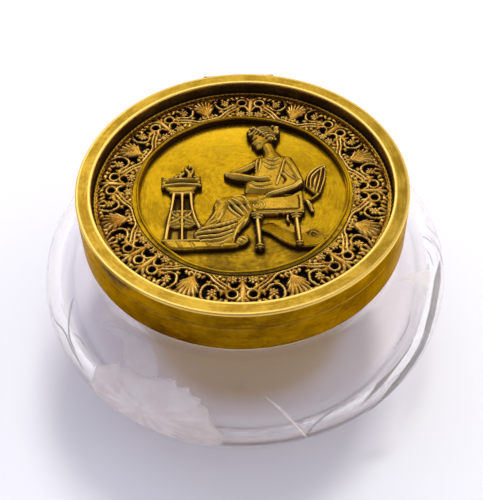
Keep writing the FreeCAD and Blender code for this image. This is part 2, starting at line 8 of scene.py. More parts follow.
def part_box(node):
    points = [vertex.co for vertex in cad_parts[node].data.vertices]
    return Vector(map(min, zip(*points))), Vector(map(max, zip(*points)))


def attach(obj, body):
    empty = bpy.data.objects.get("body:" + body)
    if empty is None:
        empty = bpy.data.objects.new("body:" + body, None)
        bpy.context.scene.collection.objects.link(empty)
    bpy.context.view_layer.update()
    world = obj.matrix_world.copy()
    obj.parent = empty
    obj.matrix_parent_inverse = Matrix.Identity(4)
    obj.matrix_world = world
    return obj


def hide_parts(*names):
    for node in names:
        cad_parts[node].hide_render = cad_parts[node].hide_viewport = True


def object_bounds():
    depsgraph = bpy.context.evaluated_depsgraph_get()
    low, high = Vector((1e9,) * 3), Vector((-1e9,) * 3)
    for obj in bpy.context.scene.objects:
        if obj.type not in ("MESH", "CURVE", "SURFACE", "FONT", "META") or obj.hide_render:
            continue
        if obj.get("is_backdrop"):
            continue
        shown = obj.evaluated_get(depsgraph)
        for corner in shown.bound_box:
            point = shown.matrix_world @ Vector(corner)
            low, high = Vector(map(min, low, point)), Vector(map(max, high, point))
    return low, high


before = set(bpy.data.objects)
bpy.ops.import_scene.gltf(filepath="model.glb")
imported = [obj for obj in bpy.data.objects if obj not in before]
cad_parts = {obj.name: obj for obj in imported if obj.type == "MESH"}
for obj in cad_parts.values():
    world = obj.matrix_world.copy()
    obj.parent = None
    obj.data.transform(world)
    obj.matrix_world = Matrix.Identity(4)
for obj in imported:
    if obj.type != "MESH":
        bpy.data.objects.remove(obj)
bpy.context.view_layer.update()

# Glass bowl
# Blown clear glass with a thick wall: a rounded belly on a flat ground foot, drawn in to the
# straight neck that carries the collar. It was turned in a mould, so its surface waves a little.

MM = 0.001
NECK_RADIUS = 51.6
NECK_WALL = 4.0
BOWL_WALL = 5.0
FLOOR_THICKNESS = 8.5
BULGE_RADIUS = 20.5
FOOT_RADIUS = 44.0
FOOT_HEIGHT = 0.8
FOOT_BEND = 70.0
FLAT_FLOOR = 38.0
FLOOR_BEND = 12.0
SHOULDER_BLEND = 4.0
BORE_BLEND = 2.5
GLASS_IOR = 1.44
GLASS_TONE = (1.0, 0.993, 1.0, 1.0)
OPEN_TONE = (0.99, 0.985, 0.995, 1.0)
THICK_TONE = (0.93, 0.92, 0.95, 1.0)
WARM_TONE = (0.78, 0.66, 0.44, 1.0)
WARM_SPOT = (0.0, 0.014, 0.0)
BELLY_OPEN = 0.65
GLASS_TINT = (0.70, 0.55, 0.45, 1.0)
TINT_DENSITY = 9.0


def span(node):
    """Lowest and highest corners of a CAD node, in millimetres."""
    low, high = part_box(node)
    return low / MM, high / MM


def arc(centre, radius, start, stop, steps=24):
    """Points of an arc between two angles in degrees, in radius and height."""
    angles = np.radians(np.linspace(start, stop, steps))
    return np.stack([centre[0] + radius * np.cos(angles), centre[1] + radius * np.sin(angles)], 1)


def new_object(name, points, faces, smooth_angle=35.0):
    """A closed mesh from points in millimetres, smooth but for edges sharper than the angle."""
    mesh = bpy.data.meshes.new(name)
    mesh.from_pydata((np.asarray(points) * MM).tolist(), [], faces)
    mesh.validate()
    mesh.shade_smooth()
    mesh.set_sharp_from_angle(angle=math.radians(smooth_angle))
    made = bpy.data.objects.new(name, mesh)
    bpy.context.scene.collection.objects.link(made)
    return made


def set_tone_and_light(piece, values):
    """Keeps a value on every point: on metal, dark tarnish and painted shade above 0, and worn places and
    painted highlights below it.
    """
    tone_and_painted_light = piece.data.attributes.new("tone_and_painted_light", "FLOAT", "POINT")
    tone_and_painted_light.data.foreach_set("value", np.asarray(values, np.float32))


def turned(name, outline, dark=None, turns=256):
    """A turned piece: an outline of radius and height, followed anticlockwise, swept round Z.

    An outline that starts and ends on the axis is closed by it; any other is a closed loop.
    dark gives the tarnish and painted light of each point of the outline.
    """
    outline = np.asarray(outline, float)
    angles = np.linspace(0, 2 * math.pi, turns, endpoint=False)
    points, starts, stains = [], [], []
    for index, (radius, height) in enumerate(outline):
        starts.append(len(points))
        ring = angles if radius > 1e-6 else angles[:1]
        points += [(radius * math.cos(a), radius * math.sin(a), height) for a in ring]
        stains += [0.0 if dark is None else dark[index]] * len(ring)
    faces = []
    on_axis = outline[0][0] <= 1e-6
    for index in range(len(outline) - (1 if on_axis else 0)):
        after = (index + 1) % len(outline)
        for k in range(turns):
            step = (k + 1) % turns
            lower = [starts[index]] if outline[index][0] <= 1e-6 else [
                starts[index] + k, starts[index] + step]
            upper = [starts[after]] if outline[after][0] <= 1e-6 else [
                starts[after] + step, starts[after] + k]
            faces.append(lower + upper)
    made = new_object(name, points, faces)
    set_tone_and_light(made, stains)
    return made


class Value:
    """A shader socket: arithmetic on it adds Math nodes, and node() adds any other node."""

    def __init__(self, tree, socket=None):
        self.tree = tree
        self.socket = socket

    def node(self, kind, settings=None, sockets=None, output=0):
        added = self.tree.nodes.new("ShaderNode" + kind)
        for name, setting in (settings or {}).items():
            setattr(added, name, setting)
        for name, value in (sockets or {}).items():
            if isinstance(value, Value):
                self.tree.links.new(value.socket, added.inputs[name])
            else:
                added.inputs[name].default_value = value
        return Value(self.tree, added.outputs[output] if added.outputs else None)

    def maths(self, operation, *terms):
        return self.node("Math", {"operation": operation}, dict(enumerate(terms)))

    def vector(self, operation, *terms, output=0):
        return self.node("VectorMath", {"operation": operation}, dict(enumerate(terms)), output)

    def __add__(self, other):
        return self.maths("ADD", self, other)

    def __sub__(self, other):
        return self.maths("SUBTRACT", self, other)

    def __rsub__(self, other):
        return self.maths("SUBTRACT", other, self)

    def __mul__(self, other):
        return self.maths("MULTIPLY", self, other)

    def __truediv__(self, other):
        return self.maths("DIVIDE", self, other)

    __radd__ = __add__
    __rmul__ = __mul__

    def ease(self, low, high):
        """0 below low, 1 above high, and a smooth step between."""
        return self.node("MapRange", {"interpolation_type": "SMOOTHSTEP"},
                         {"Value": self, "From Min": low, "From Max": high})

    def mix(self, low, high):
        """A colour that goes from low to high with this value."""
        return self.node("Mix", {"data_type": "RGBA"}, {0: self, 6: low, 7: high}, 2)

    def place(self):
        """Where a point lies on its piece, in metres."""
        return self.node("TexCoord", output="Object")

    def noise(self, vector, scale, detail=2.0):
        return self.node("TexNoise", {}, {"Vector": vector, "Scale": scale, "Detail": detail})

    def bump(self, height, distance, strength=1.0):
        return self.node("Bump", {}, {"Strength": strength, "Distance": distance,
                                      "Height": height}, "Normal")


def new_finish(name):
    """A new material and the start of its shader."""
    material = bpy.data.materials.new(name)
    material.use_nodes = True
    material.node_tree.nodes.clear()
    return material, Value(material.node_tree)


def fit(piece, material, body, slot, *nodes):
    """Dresses a new piece, which rides on a body and stands for CAD nodes."""
    piece.data.materials.clear()
    piece.data.materials.append(material)
    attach(piece, body)
    if nodes:
        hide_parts(*nodes)


def clear_glass():
    """Clear glass with faint waves and a warm tint over a long way through it.

    Light that makes its shadow goes straight through: a little less of it in the thick low belly,
    and warm through the foot, as a painted warm shade on the floor below it that stands in for light
    off the gilt lid. The low belly is partly open to sight as well, so that no dark band shows along
    its edge.
    """
    material, start = new_finish("clear_glass")
    place = start.place()
    flat = start.vector("MULTIPLY", place, (1.0, 1.0, 0.0))
    wave = start.noise(place, 45.0, 1.0)
    glass = start.node("BsdfPrincipled", {}, {
        "Base Color": GLASS_TONE, "Roughness": 0.0, "IOR": GLASS_IOR,
        "Transmission Weight": 1.0, "Normal": start.bump(wave, 0.0012, 0.25)})
    radius = start.vector("LENGTH", flat, output="Value")
    height = start.node("SeparateXYZ", {}, {0: place}, "Z")
    low_belly = radius.ease(0.056, 0.064) * (1.0 - height.ease(0.014, 0.026))
    # A painted warm shade on the floor under the foot, set a little forward, stands in for light off the gilt
    # lid
    from_spot = start.vector("LENGTH", start.vector("ADD", flat, WARM_SPOT), output="Value")
    in_foot = (1.0 - from_spot.ease(0.026, 0.038)) * (1.0 - height.ease(0.001, 0.004))
    open_glass = start.node("BsdfTransparent", {}, {"Color": OPEN_TONE})
    thick_glass = start.node("BsdfTransparent", {}, {"Color": THICK_TONE})
    warm_glass = start.node("BsdfTransparent", {}, {"Color": WARM_TONE})
    wall = start.node("MixShader", {}, {0: low_belly, 1: open_glass, 2: thick_glass})
    through = start.node("MixShader", {}, {0: in_foot, 1: wall, 2: warm_glass})
    shadow = start.node("LightPath", output="Is Shadow Ray")
    scattered = start.node("LightPath", output="Is Diffuse Ray")
    leaving = start.node("NewGeometry", output="Backfacing")
    thin = BELLY_OPEN * low_belly * start.maths("MAXIMUM", leaving, height.ease(0.0105, 0.0125))
    body = start.node("MixShader", {}, {0: thin, 1: glass, 2: open_glass})
    unseen = start.maths("MAXIMUM", shadow, scattered)
    both = start.node("MixShader", {}, {0: unseen, 1: body, 2: through})
    tint = start.node("VolumeAbsorption", {}, {"Color": GLASS_TINT, "Density": TINT_DENSITY})
    start.node("OutputMaterial", {}, {"Surface": both, "Volume": tint})
    return material


bowl_radius = span("glass_bowl")[1].x
rim_height = span("glass_bowl")[1].z
belly = (bowl_radius - BULGE_RADIUS, FOOT_HEIGHT + BULGE_RADIUS)


def neck_angle(neck, blend, radius):
    """Angle on a belly arc where the blend up to a straight neck begins."""
    return math.degrees(math.acos((neck + blend - belly[0]) / (radius + blend)))


def neck_blend(neck, blend, radius):
    """Points of the blend between a belly arc and a straight neck."""
    angle = neck_angle(neck, blend, radius)
    reach = radius + blend
    centre = (neck + blend, belly[1] + reach * math.sin(math.radians(angle)))
    return arc(centre, blend, 180 + angle, 180, 8)


inner_radius = BULGE_RADIUS - BOWL_WALL
bore = NECK_RADIUS - NECK_WALL
bend = math.radians(FOOT_BEND)
foot_end = np.array([belly[0] + BULGE_RADIUS * math.cos(bend), belly[1] - BULGE_RADIUS * math.sin(bend)])
foot_corner = np.array([foot_end[0] - foot_end[1] * math.tan(bend), 0])
foot_start = np.array([FOOT_RADIUS, 0])


def bent(start, corner, end, steps):
    """Points of a smooth bend from start to end, round a corner."""
    return np.array([(1 - t) ** 2 * start + 2 * t * (1 - t) * corner + t ** 2 * end
                     for t in np.linspace(0, 1, steps)])


foot_curve = bent(foot_start, foot_corner, foot_end, 12)
inner_end = np.array([belly[0] + inner_radius * math.cos(math.radians(FLOOR_BEND)),
                      belly[1] - inner_radius * math.sin(math.radians(FLOOR_BEND))])
inner_corner = np.array([inner_end[0] - (inner_end[1] - FLOOR_THICKNESS) * math.tan(math.radians(FLOOR_BEND)),
                         FLOOR_THICKNESS])
inner_start = np.array([FLAT_FLOOR, FLOOR_THICKNESS])
glass_outline = np.concatenate([
    [(0, 0)],
    [(FOOT_RADIUS * share, 0) for share in (0.4, 0.8)],
    foot_curve,
    arc(belly, BULGE_RADIUS, -FOOT_BEND,
        neck_angle(NECK_RADIUS, SHOULDER_BLEND, BULGE_RADIUS), 72)[1:],
    neck_blend(NECK_RADIUS, SHOULDER_BLEND, BULGE_RADIUS)[1:],
    [(NECK_RADIUS, rim_height), (bore, rim_height)],
    neck_blend(bore, BORE_BLEND, inner_radius)[::-1],
    arc(belly, inner_radius, neck_angle(bore, BORE_BLEND, inner_radius), -FLOOR_BEND, 56)[1:],
    bent(inner_end, inner_corner, inner_start, 20)[1:],
    [(FLAT_FLOOR * share, FLOOR_THICKNESS) for share in (0.7, 0.35)],
    [(0, FLOOR_THICKNESS)],
])
glass_bowl = turned("glass_bowl_blown", glass_outline, turns=320)
fit(glass_bowl, clear_glass(), "base", "clear_glass", "glass_bowl")

# Engraving on the belly
# A large frosted flower, leaf blades and grasses, cut into the outside of the belly with small
# stone wheels and left matt. The flower, its tall petal and a sprig come again at the back.

FROST_DEPTH = 0.16
FROST_PITCH = 0.32


def curve(points, closed=False, steps=8):
    """A smooth line through points, which may carry widths and heights as well."""
    points = np.array(points, float)
    if closed:
        points = np.concatenate([points[-1:], points, points[:2]])
    else:
        points = np.concatenate([2 * points[:1] - points[1:2], points,
                                 2 * points[-1:] - points[-2:-1]])
    u = np.linspace(0, 1, steps, endpoint=False)[:, None]
    spans = [0.5 * (2 * b + (c - a) * u + (2 * a - 5 * b + 4 * c - d) * u ** 2
                    + (3 * b - a - 3 * c + d) * u ** 3)
             for a, b, c, d in zip(points, points[1:], points[2:], points[3:])]
    return np.concatenate(spans if closed else spans + [points[-2:-1]])


class Casting:
    """A relief on a fine grid, in millimetres.

    edge is how far each grid point lies inside the outline, and top is its height. swell makes
    every strand wider or narrower than it is written.
    """

    def __init__(self, low, high, pitch, swell=1.0):
        self.low = np.array(low, float)
        self.swell = swell
        self.pitch = np.broadcast_to(np.array(pitch, float), 2)
        counts = np.round((np.array(high) - self.low) / self.pitch).astype(int) + 1
        self.x, self.y = np.meshgrid(self.low[0] + self.pitch[0] * np.arange(counts[0]),
                                     self.low[1] + self.pitch[1] * np.arange(counts[1]))
        self.edge = np.full(self.x.shape, -10.0)
        self.top = np.zeros(self.x.shape)

    def near(self, line, margin):
        """The rows and columns of the grid round a line."""
        reach = margin + 2 * self.pitch.max()
        first = np.floor((line[:, :2].min(0) - reach - self.low) / self.pitch).astype(int)
        last = np.ceil((line[:, :2].max(0) + reach - self.low) / self.pitch).astype(int) + 1
        first, last = np.maximum(first, 0), np.maximum(last, 0)
        return slice(first[1], last[1]), slice(first[0], last[0])

    def beside(self, part, start, stop):
        """How far along a short run each grid point lies, as a share, and how far from it."""
        x, y = self.x[part] - start[0], self.y[part] - start[1]
        run = stop[:2] - start[:2]
        along = np.clip((x * run[0] + y * run[1]) / max(run @ run, 1e-12), 0, 1)
        return along, np.hypot(x - run[0] * along, y - run[1] * along)

    def add(self, part, edge, top):
        self.top[part] = np.where(edge > 0, np.maximum(self.top[part], top), self.top[part])
        self.edge[part] = np.maximum(self.edge[part], edge)

    def strand(self, *points, wall=0.4):
        """A round-topped strand through points of x, y, half width and height."""
        line = curve(points)
        for start, stop in zip(line, line[1:]):
            part = self.near(np.stack([start, stop]), self.swell * max(start[2], stop[2]))
            along, apart = self.beside(part, start, stop)
            width = np.maximum(self.swell * (start[2] + (stop[2] - start[2]) * along), 1e-3)
            height = start[3] + (stop[3] - start[3]) * along
            crown = np.sqrt(np.clip(1 - (apart / width) ** 2, 0, 1))
            self.add(part, width - apart, height * (wall + (1 - wall) * crown))

    def fold(self, *points):
        """A soft ridge, or a crease if its height is below zero, in what is already there."""
        line = curve(points)
        lift = np.zeros(self.top.shape)
        for start, stop in zip(line, line[1:]):
            part = self.near(np.stack([start, stop]), max(start[2], stop[2]))
            along, apart = self.beside(part, start, stop)
            width = np.maximum(start[2] + (stop[2] - start[2]) * along, 1e-3)
            rise = np.clip(1 - apart / width, 0, 1)
            rise = (start[3] + (stop[3] - start[3]) * along) * rise * rise * (3 - 2 * rise)
            lift[part] = np.where(np.abs(rise) > np.abs(lift[part]), rise, lift[part])
        self.top += np.where(self.edge > 0, lift, 0)

    def plate(self, points, height, bevel, wall=0.5):
        """What a smooth closed outline holds, rounded over near its edge."""
        line = curve(points, closed=True)
        part = self.near(line, 0)
        x, y = self.x[part], self.y[part]
        apart = np.full(x.shape, 1e3)
        inside = np.zeros(x.shape, bool)
        for start, stop in zip(line, np.roll(line, -1, 0)):
            apart = np.minimum(apart, self.beside(part, start, stop)[1])
            crossing = (start[1] > y) != (stop[1] > y)
            rise = stop[1] - start[1] if stop[1] != start[1] else 1.0
            inside ^= crossing & (x < start[0] + (stop[0] - start[0]) * (y - start[1]) / rise)
        edge = np.where(inside, apart, -apart)
        fall = 1 - np.clip(edge / bevel, 0, 1)
        self.add(part, edge, height * (wall + (1 - wall) * np.sqrt(1 - fall ** 2)))

    def boss(self, x, y, across, along, height, turn=0.0, wall=0.4):
        """An oval dome, turned by an angle in degrees."""
        part = self.near(np.array([(x, y)]), max(across, along))
        c, s = math.cos(math.radians(turn)), math.sin(math.radians(turn))
        dx, dy = self.x[part] - x, self.y[part] - y
        out = np.hypot((c * dx + s * dy) / across, (c * dy - s * dx) / along)
        crown = np.sqrt(np.clip(1 - out ** 2, 0, 1))
        self.add(part, (1 - out) * min(across, along), height * (wall + (1 - wall) * crown))

    def blurred(self, passes):
        """The heights, smoothed inside the outline."""
        weight = (self.edge > 0).astype(float)
        total = self.top * weight
        for _ in range(passes):
            for axis in (0, 1):
                total = (np.roll(total, 1, axis) + 2 * total + np.roll(total, -1, axis)) / 4
                weight = (np.roll(weight, 1, axis) + 2 * weight + np.roll(weight, -1, axis)) / 4
        return np.where(self.edge > 0, total / np.maximum(weight, 1e-9), 0)

    def soften(self, passes):
        self.top = self.blurred(passes)

    def piece(self, name, to_space, held, foot=0.0, wrap=False, faded=False):
        """The closed mesh: top, foot and the walls round every outline.

        to_space turns x, y and a height into places on the object. held is the tarnish and painted light
        of each grid point, and the foot of a faded piece has it too; any other foot is painted fully dark,
        so the walls fade into painted shade.
        """
        columns = self.edge.shape[1]
        inside = self.edge > 0
        pair = inside[:-1] | inside[1:]
        cells = pair | np.roll(pair, -1, 1)
        if not wrap:
            cells[:, -1] = False
        x, y, top = self.x.copy(), self.y.copy(), self.top.copy()
        rim_held = held.copy()
        shift = np.full(x.shape, 1e3)
        for down in (-1, 0, 1):
            for over in (-1, 0, 1):
                beside = np.roll(self.edge, (-down, -over), (0, 1))
                share = np.clip(-self.edge / np.maximum(beside - self.edge, 1e-9), 0, 0.95)
                step = share * math.hypot(over * self.pitch[0], down * self.pitch[1])
                nearer = ~inside & (beside > 0) & (step < shift)
                shift = np.where(nearer, step, shift)
                x = np.where(nearer, self.x + share * over * self.pitch[0], x)
                y = np.where(nearer, self.y + share * down * self.pitch[1], y)
                height = np.roll(self.top, (-down, -over), (0, 1))
                top = np.where(nearer, height, top)
                rim_held = np.where(nearer, np.roll(held, (-down, -over), (0, 1)), rim_held)
        row, column = np.nonzero(cells)
        after = (column + 1) % columns
        quads = np.stack([row * columns + column, row * columns + after,
                          (row + 1) * columns + after, (row + 1) * columns + column], 1)
        used, quads = np.unique(quads, return_inverse=True)
        quads = quads.reshape(-1, 4)
        count = len(used)
        edges = np.concatenate([quads[:, [k, (k + 1) % 4]] for k in range(4)])
        _, first, times = np.unique(np.sort(edges, 1) @ [count, 1], return_index=True,
                                    return_counts=True)
        rim = edges[first[times == 1]]
        walls = np.stack([rim[:, 0], rim[:, 0] + count, rim[:, 1] + count, rim[:, 1]], 1)
        faces = np.concatenate([quads, quads[:, ::-1] + count, walls])
        flat = [field.ravel()[used] for field in (x, y, top, rim_held)]
        points = np.concatenate([to_space(flat[0], flat[1], flat[2]),
                                 to_space(flat[0], flat[1], np.full(count, foot))])
        made = new_object(name, points, faces.tolist(), smooth_angle=50.0)
        # Unless faded, the foot is fully dark: painted shade down the walls
        set_tone_and_light(made, np.concatenate([flat[3], flat[3] if faded else np.ones(count)]))
        return made


def on_belly(turned_by):
    """Places on the belly: x round it at its widest, y up from the widest line."""
    def to_space(x, y, height):
        up = y / BULGE_RADIUS
        turn = turned_by + x / bowl_radius
        radius = belly[0] + (BULGE_RADIUS + height) * np.cos(up)
        return np.stack([radius * np.cos(turn), radius * np.sin(turn),
                         belly[1] + (BULGE_RADIUS + height) * np.sin(up)], 1)
    return to_space


def frosted_glass(name, thickness, thin, thick, clearness=0.25):
    """Glass cut matt: milky where the wheel cut deep, and clear towards the edge of a cut."""
    material, start = new_finish(name)
    place = start.place()
    grain = start.noise(place, 2600.0, 2.0)
    cloud = start.noise(place, 140.0, 3.0)
    cut = start.node("Attribute", {"attribute_name": "tone_and_painted_light"}, output="Fac")
    frost = start.node("BsdfPrincipled", {}, {
        "Base Color": cloud.ease(0.3, 0.7).mix(thin, thick),
        "Roughness": 0.42 + 0.2 * grain, "IOR": 1.4, "Transmission Weight": clearness,
        "Normal": start.bump(grain, 0.0001, 0.4)})
    clear = start.node("BsdfTransparent")
    shadow = start.node("LightPath", output="Is Shadow Ray")
    milky = thickness * cut * (0.75 + 0.5 * cloud) * (1.0 - 0.7 * shadow)
    both = start.node("MixShader", {}, {0: milky, 1: clear, 2: frost})
    start.node("OutputMaterial", {}, {"Surface": both})
    return material


# Petals of the flower, from the left lobe to the ruffled ones on the right
flower = Casting((-172, -16), (-116, 27), FROST_PITCH)
FLOWER = np.array((-145.4, 0.0))
PETALS = (
    (0.8, ((-22, 1), (-20.8, 4), (-20.3, 9.9), (-17.7, 12.4), (-15.1, 14.1), (-12.1, 16.0), (-7, 13), (-5, 4),
           (-9, -8), (-16, -12), (-21, -8))),
    (1.0, ((-9, 9), (-3, 13), (5, 12), (11, 6), (12, -4), (8, -12), (-2, -14), (-11, -11))),
    (0.8, ((5, 9), (11, 13), (17, 13.6), (21.9, 12.4), (22.9, 9.2), (24.7, 5.5), (26.7, 3.3), (27, -0.2),
           (26.2, -5), (20, -11), (12, -11), (7, -2))),
    (1.2, ((-10, 12), (-8.9, 16.7), (-2, 16.5), (3.3, 17.8), (6.9, 18.6), (9.7, 18.8), (11, 17), (13, 17.3),
           (15.3, 17.6), (15.8, 15.7), (18.5, 15.2), (19.7, 13.1), (12, 8), (3, 6), (-5, 8))),
)
for height, outline in PETALS:
    flower.plate(np.array(outline) + FLOWER, height * FROST_DEPTH, 2.6, 0.15)
for x, y in ((-19, 7), (-18, 1), (-13, 12), (-14, -8), (-2, -11), (6, -9), (22, 8), (24, 1), (18, -7),
             (16, 14), (6, 16)):
    flower.fold((FLOWER[0] + 0.2 * x, 4 + 0.1 * y, 0.8, 0.02),
                (FLOWER[0] + 0.6 * x, 2 + 0.55 * y, 1.3, 0.06), (FLOWER[0] + x, y, 0.6, 0.01))
for x, y, reach in ((-7.1, 8.9, 1.0), (8.8, 5.6, 0.9), (-2.3, 6.4, 0.7)):
    flower.boss(x + FLOWER[0], y, reach, 0.7 * reach, 3.0 * FROST_DEPTH, 40)
flower.soften(3)
# The tall petal is only misted over
TALL_PETAL = np.array((
    (-28.9, 22.6), (-25.8, 22.0), (-21.5, 21.6), (-16.7, 22.2), (-14.2, 21.2), (-12.0, 18.8), (-8.9, 15.5),
    (-1.8, 14.6), (3.0, 17.0), (2.7, 20.2), (0.5, 23.4), (-4.4, 25.8), (-10.7, 26.8), (-19.2, 26.0),
    (-24.5, 24.2))) + FLOWER
misted = Casting((-178, 8), (-138, 29), FROST_PITCH)
misted.plate(TALL_PETAL, 0.7 * FROST_DEPTH, 2.0, 0.15)
# Blades and grasses. Each point of a stroke is x, y and half width.
blades = Casting((-206, -16), (8, 29), FROST_PITCH)
blades.plate([(-9, 10.8), (-14.0, 9.4), (-24.8, 8.2), (-31.6, 6.4), (-37.4, 4.2), (-43.6, 1.4), (-52.7, -1.0),
              (-60, -4.4), (-70, -8.4), (-64, -2.0), (-60.5, 1.6), (-53.8, 4.0), (-45.7, 6.0), (-41.2, 7.6),
              (-36.9, 9.8), (-29.8, 12.0), (-24.6, 13.0), (-18.2, 13.2)], FROST_DEPTH, 0.8)
blades.fold((-16, 11, 0.6, -0.06), (-30, 9.2, 0.7, -0.1), (-46, 3.8, 0.6, -0.1), (-64, -4.6, 0.3, -0.05))
sprig = Casting((-108, -8), (-70, 20), FROST_PITCH)
sprig.strand((-104.8, 16.4, 0.15, 0.16), (-101.0, 12.6, 0.4, 0.2), (-98.6, 9.4, 0.45, 0.2),
             (-95.5, 4.2, 0.55, 0.2), (-92.7, -2.0, 0.5, 0.16), (-92.0, -5.0, 0.3, 0.12))
STROKES = (
    ((-92.4, -4.0, 0.3), (-90.2, 1.3, 0.5), (-84.4, 5.7, 0.5), (-73.8, 6.9, 0.15)),
    ((-190.8, 19.6, 0.15), (-188.4, 17.0, 0.4), (-185.1, 13.5, 0.5), (-181.3, 9.7, 0.55), (-177.0, 7.7, 0.5),
     (-171.0, 4.4, 0.3)),
    ((-200.8, 6.5, 0.15), (-193.0, 6.4, 0.4), (-185.3, 8.9, 0.55), (-179.7, 7.5, 0.6), (-171.0, 4.4, 0.3)),
    ((-181.2, 11.9, 0.15), (-176.9, 13.0, 0.35), (-172.1, 12.5, 0.15)),
    ((3.1, 17.8, 0.15), (2.3, 14.2, 0.4), (2.4, 9.5, 0.45), (1.4, 2.0, 0.2)),
    ((-2.1, 18.4, 0.15), (-3.2, 14.5, 0.4), (-4.4, 10.4, 0.45), (-8.4, 7.2, 0.4)),
    ((-40.1, 17.6, 0.12), (-44.2, 16.0, 0.25), (-49.6, 14.6, 0.25), (-55.6, 13.7, 0.12)),
)
for stroke in STROKES:
    blades.strand(*[(x, y, width, FROST_DEPTH) for x, y, width in stroke])
leaf = Casting((-36, 12), (-15, 29), FROST_PITCH)
leaf.plate([(-32.7, 26.3), (-28.0, 24.7), (-23.5, 21.9), (-18.4, 17.5), (-18.4, 14.6), (-26.0, 14.4),
            (-29.9, 15.0), (-28.2, 16.8), (-28.5, 19.0), (-30.4, 22.6)], 0.7 * FROST_DEPTH, 0.8)
frost = frosted_glass("frosted_glass", 0.88, (0.92, 0.82, 0.74, 1.0), (0.99, 0.92, 0.85, 1.0))
mist = frosted_glass("misted_glass", 0.50, (0.95, 0.86, 0.79, 1.0), (0.99, 0.94, 0.88, 1.0))
# The cuts of the blades are painted dark grey: painted shade, since the thin cuts catch little light
cut_line = frosted_glass("wheel_cut_glass", 0.85, (0.36, 0.33, 0.31, 1.0), (0.48, 0.45, 0.43, 1.0), 0.35)
FROST_FOOT = -0.05
# Each cut fades out over a width at its edge. The blades and the leaf are on the front only.
CUTS = ((flower, "flower", frost, 0.7, 2), (misted, "tall_petal", mist, 0.7, 2), (sprig, "sprig", frost, 0.4, 2),
        (blades, "blades", cut_line, 0.6, 1), (leaf, "leaf", mist, 1.2, 1))
for cut, kind, finish, fade, times in CUTS:
    depth = np.clip(cut.edge / fade, 0, 1) * np.clip(cut.top / FROST_DEPTH, 0.6, 1.3)
    for number in range(times):
        engraved = cut.piece(f"engraved_{kind}_{number + 1}", on_belly(math.pi * number), depth,
                             foot=FROST_FOOT, faded=True)
        fit(engraved, finish, "base", "clear_glass")

# Cement bed
# Plaster poured between neck and collar. Only a line of it shows, where it is crumbly and grey.


def plaster():
    material, start = new_finish("plaster")
    grain = start.noise(start.place(), 900.0, 4.0)
    chalk = start.node("BsdfPrincipled", {}, {
        "Base Color": grain.ease(0.35, 0.65).mix((0.42, 0.38, 0.31, 1.0), (0.66, 0.62, 0.54, 1.0)),
        "Roughness": 0.9, "Normal": start.bump(grain, 0.0002)})
    start.node("OutputMaterial", {}, {"Surface": chalk})
    return material


def repaint(node, material):
    """Gives a CAD node that is shown as it is its finish."""
    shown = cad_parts[node]
    shown.data.materials.clear()
    shown.data.materials.append(material)


repaint("cement_bed", plaster())

# Collar
# A gilt brass band spun to shape, turned in over the rim and cemented to the neck. Its side is a
# darker copy of the gilt, with brown tarnish and painted shade, and it is darker along its foot. A
# painted highlight runs along its top edge, and fine lathe lines run round it.

GILT_SIDE_SHADED = (0.34, 0.175, 0.008, 1.0)
GILT_BROWN = (0.135, 0.060, 0.004, 1.0)
# The rubbed tones are worn gilding, and they also colour the painted highlights
GILT_RUBBED_HIGHLIGHT = (0.80, 0.50, 0.09, 1.0)
DARK_TARNISH_AND_SHADE = (0.030, 0.012, 0.004, 1.0)
EDGE_BREAK = 0.3


def rounded(corners, radii, steps=5):
    """An outline with its corners rounded, and which corner each point belongs to."""
    corners = np.asarray(corners, float)
    points, owners = [], []
    for index, corner in enumerate(corners):
        radius = radii[index]
        before = corners[index - 1] - corner
        after = corners[(index + 1) % len(corners)] - corner
        before, after = before / np.linalg.norm(before), after / np.linalg.norm(after)
        for share in np.linspace(0, 1, steps if radius else 1):
            pull = (1 - share) ** 2 * before + share ** 2 * after
            points.append(corner + radius * pull)
            owners.append(index)
    return np.array(points), np.array(owners)


def lathe_lines(start, place):
    """Fine lines that run round the axis."""
    flat = start.vector("MULTIPLY", place, (1.0, 1.0, 0.0))
    radius = start.vector("LENGTH", flat, output="Value")
    height = start.node("SeparateXYZ", {}, {0: place}, "Z")
    round_axis = start.vector("SCALE", start.vector("NORMALIZE", flat))
    round_axis.socket.node.inputs["Scale"].default_value = 0.004
    level = start.node("CombineXYZ", {}, {"Z": radius + height})
    return start.noise(start.vector("ADD", round_axis, level), 2400.0, 3.0)


def cast_skin(start, place):
    """The fine grain of a sand casting."""
    return start.noise(place, 1500.0, 4.0)


def gilt_brass(name, tone, shade, rubbed_highlight, marks, roughness, depth, wear=0.5, streak=0.5):
    """Old gilt brass: worn tones, tool marks, and what the piece holds of tarnish and painted light.

    A value above 0 is dark tarnish and painted shade, and below 0 worn gilding and a painted highlight.
    """
    material, start = new_finish(name)
    place = start.place()
    cloud = start.noise(place, 110.0, 5.0)
    speck = start.noise(place, 700.0, 3.0)
    line = marks(start, place)
    held = start.node("Attribute", {"attribute_name": "tone_and_painted_light"}, output="Fac")
    tarnish_and_shade = (held + 0.4 * (cloud - 0.5) + 0.25 * (speck - 0.5)).ease(0.2, 0.85)
    worn = (cloud + streak * (line - 0.5) + 0.3 * (speck - 0.5)).ease(wear - 0.22, wear + 0.22)
    rub_and_highlight = (0.3 * (cloud - 0.5) - held).ease(0.15, 0.85)
    metal = start.node("BsdfPrincipled", {}, {
        "Base Color": tarnish_and_shade.mix(rub_and_highlight.mix(worn.mix(tone, shade), rubbed_highlight), DARK_TARNISH_AND_SHADE),
        "Metallic": 1.0 - 0.5 * tarnish_and_shade, "Specular Tint": (1.0, 0.72, 0.22, 1.0),
        "Roughness": roughness + 0.3 * tarnish_and_shade + 0.15 * (speck - 0.5) - 0.06 * rub_and_highlight,
        "Normal": start.bump(line, depth)})
    start.node("OutputMaterial", {}, {"Surface": metal})
    return material


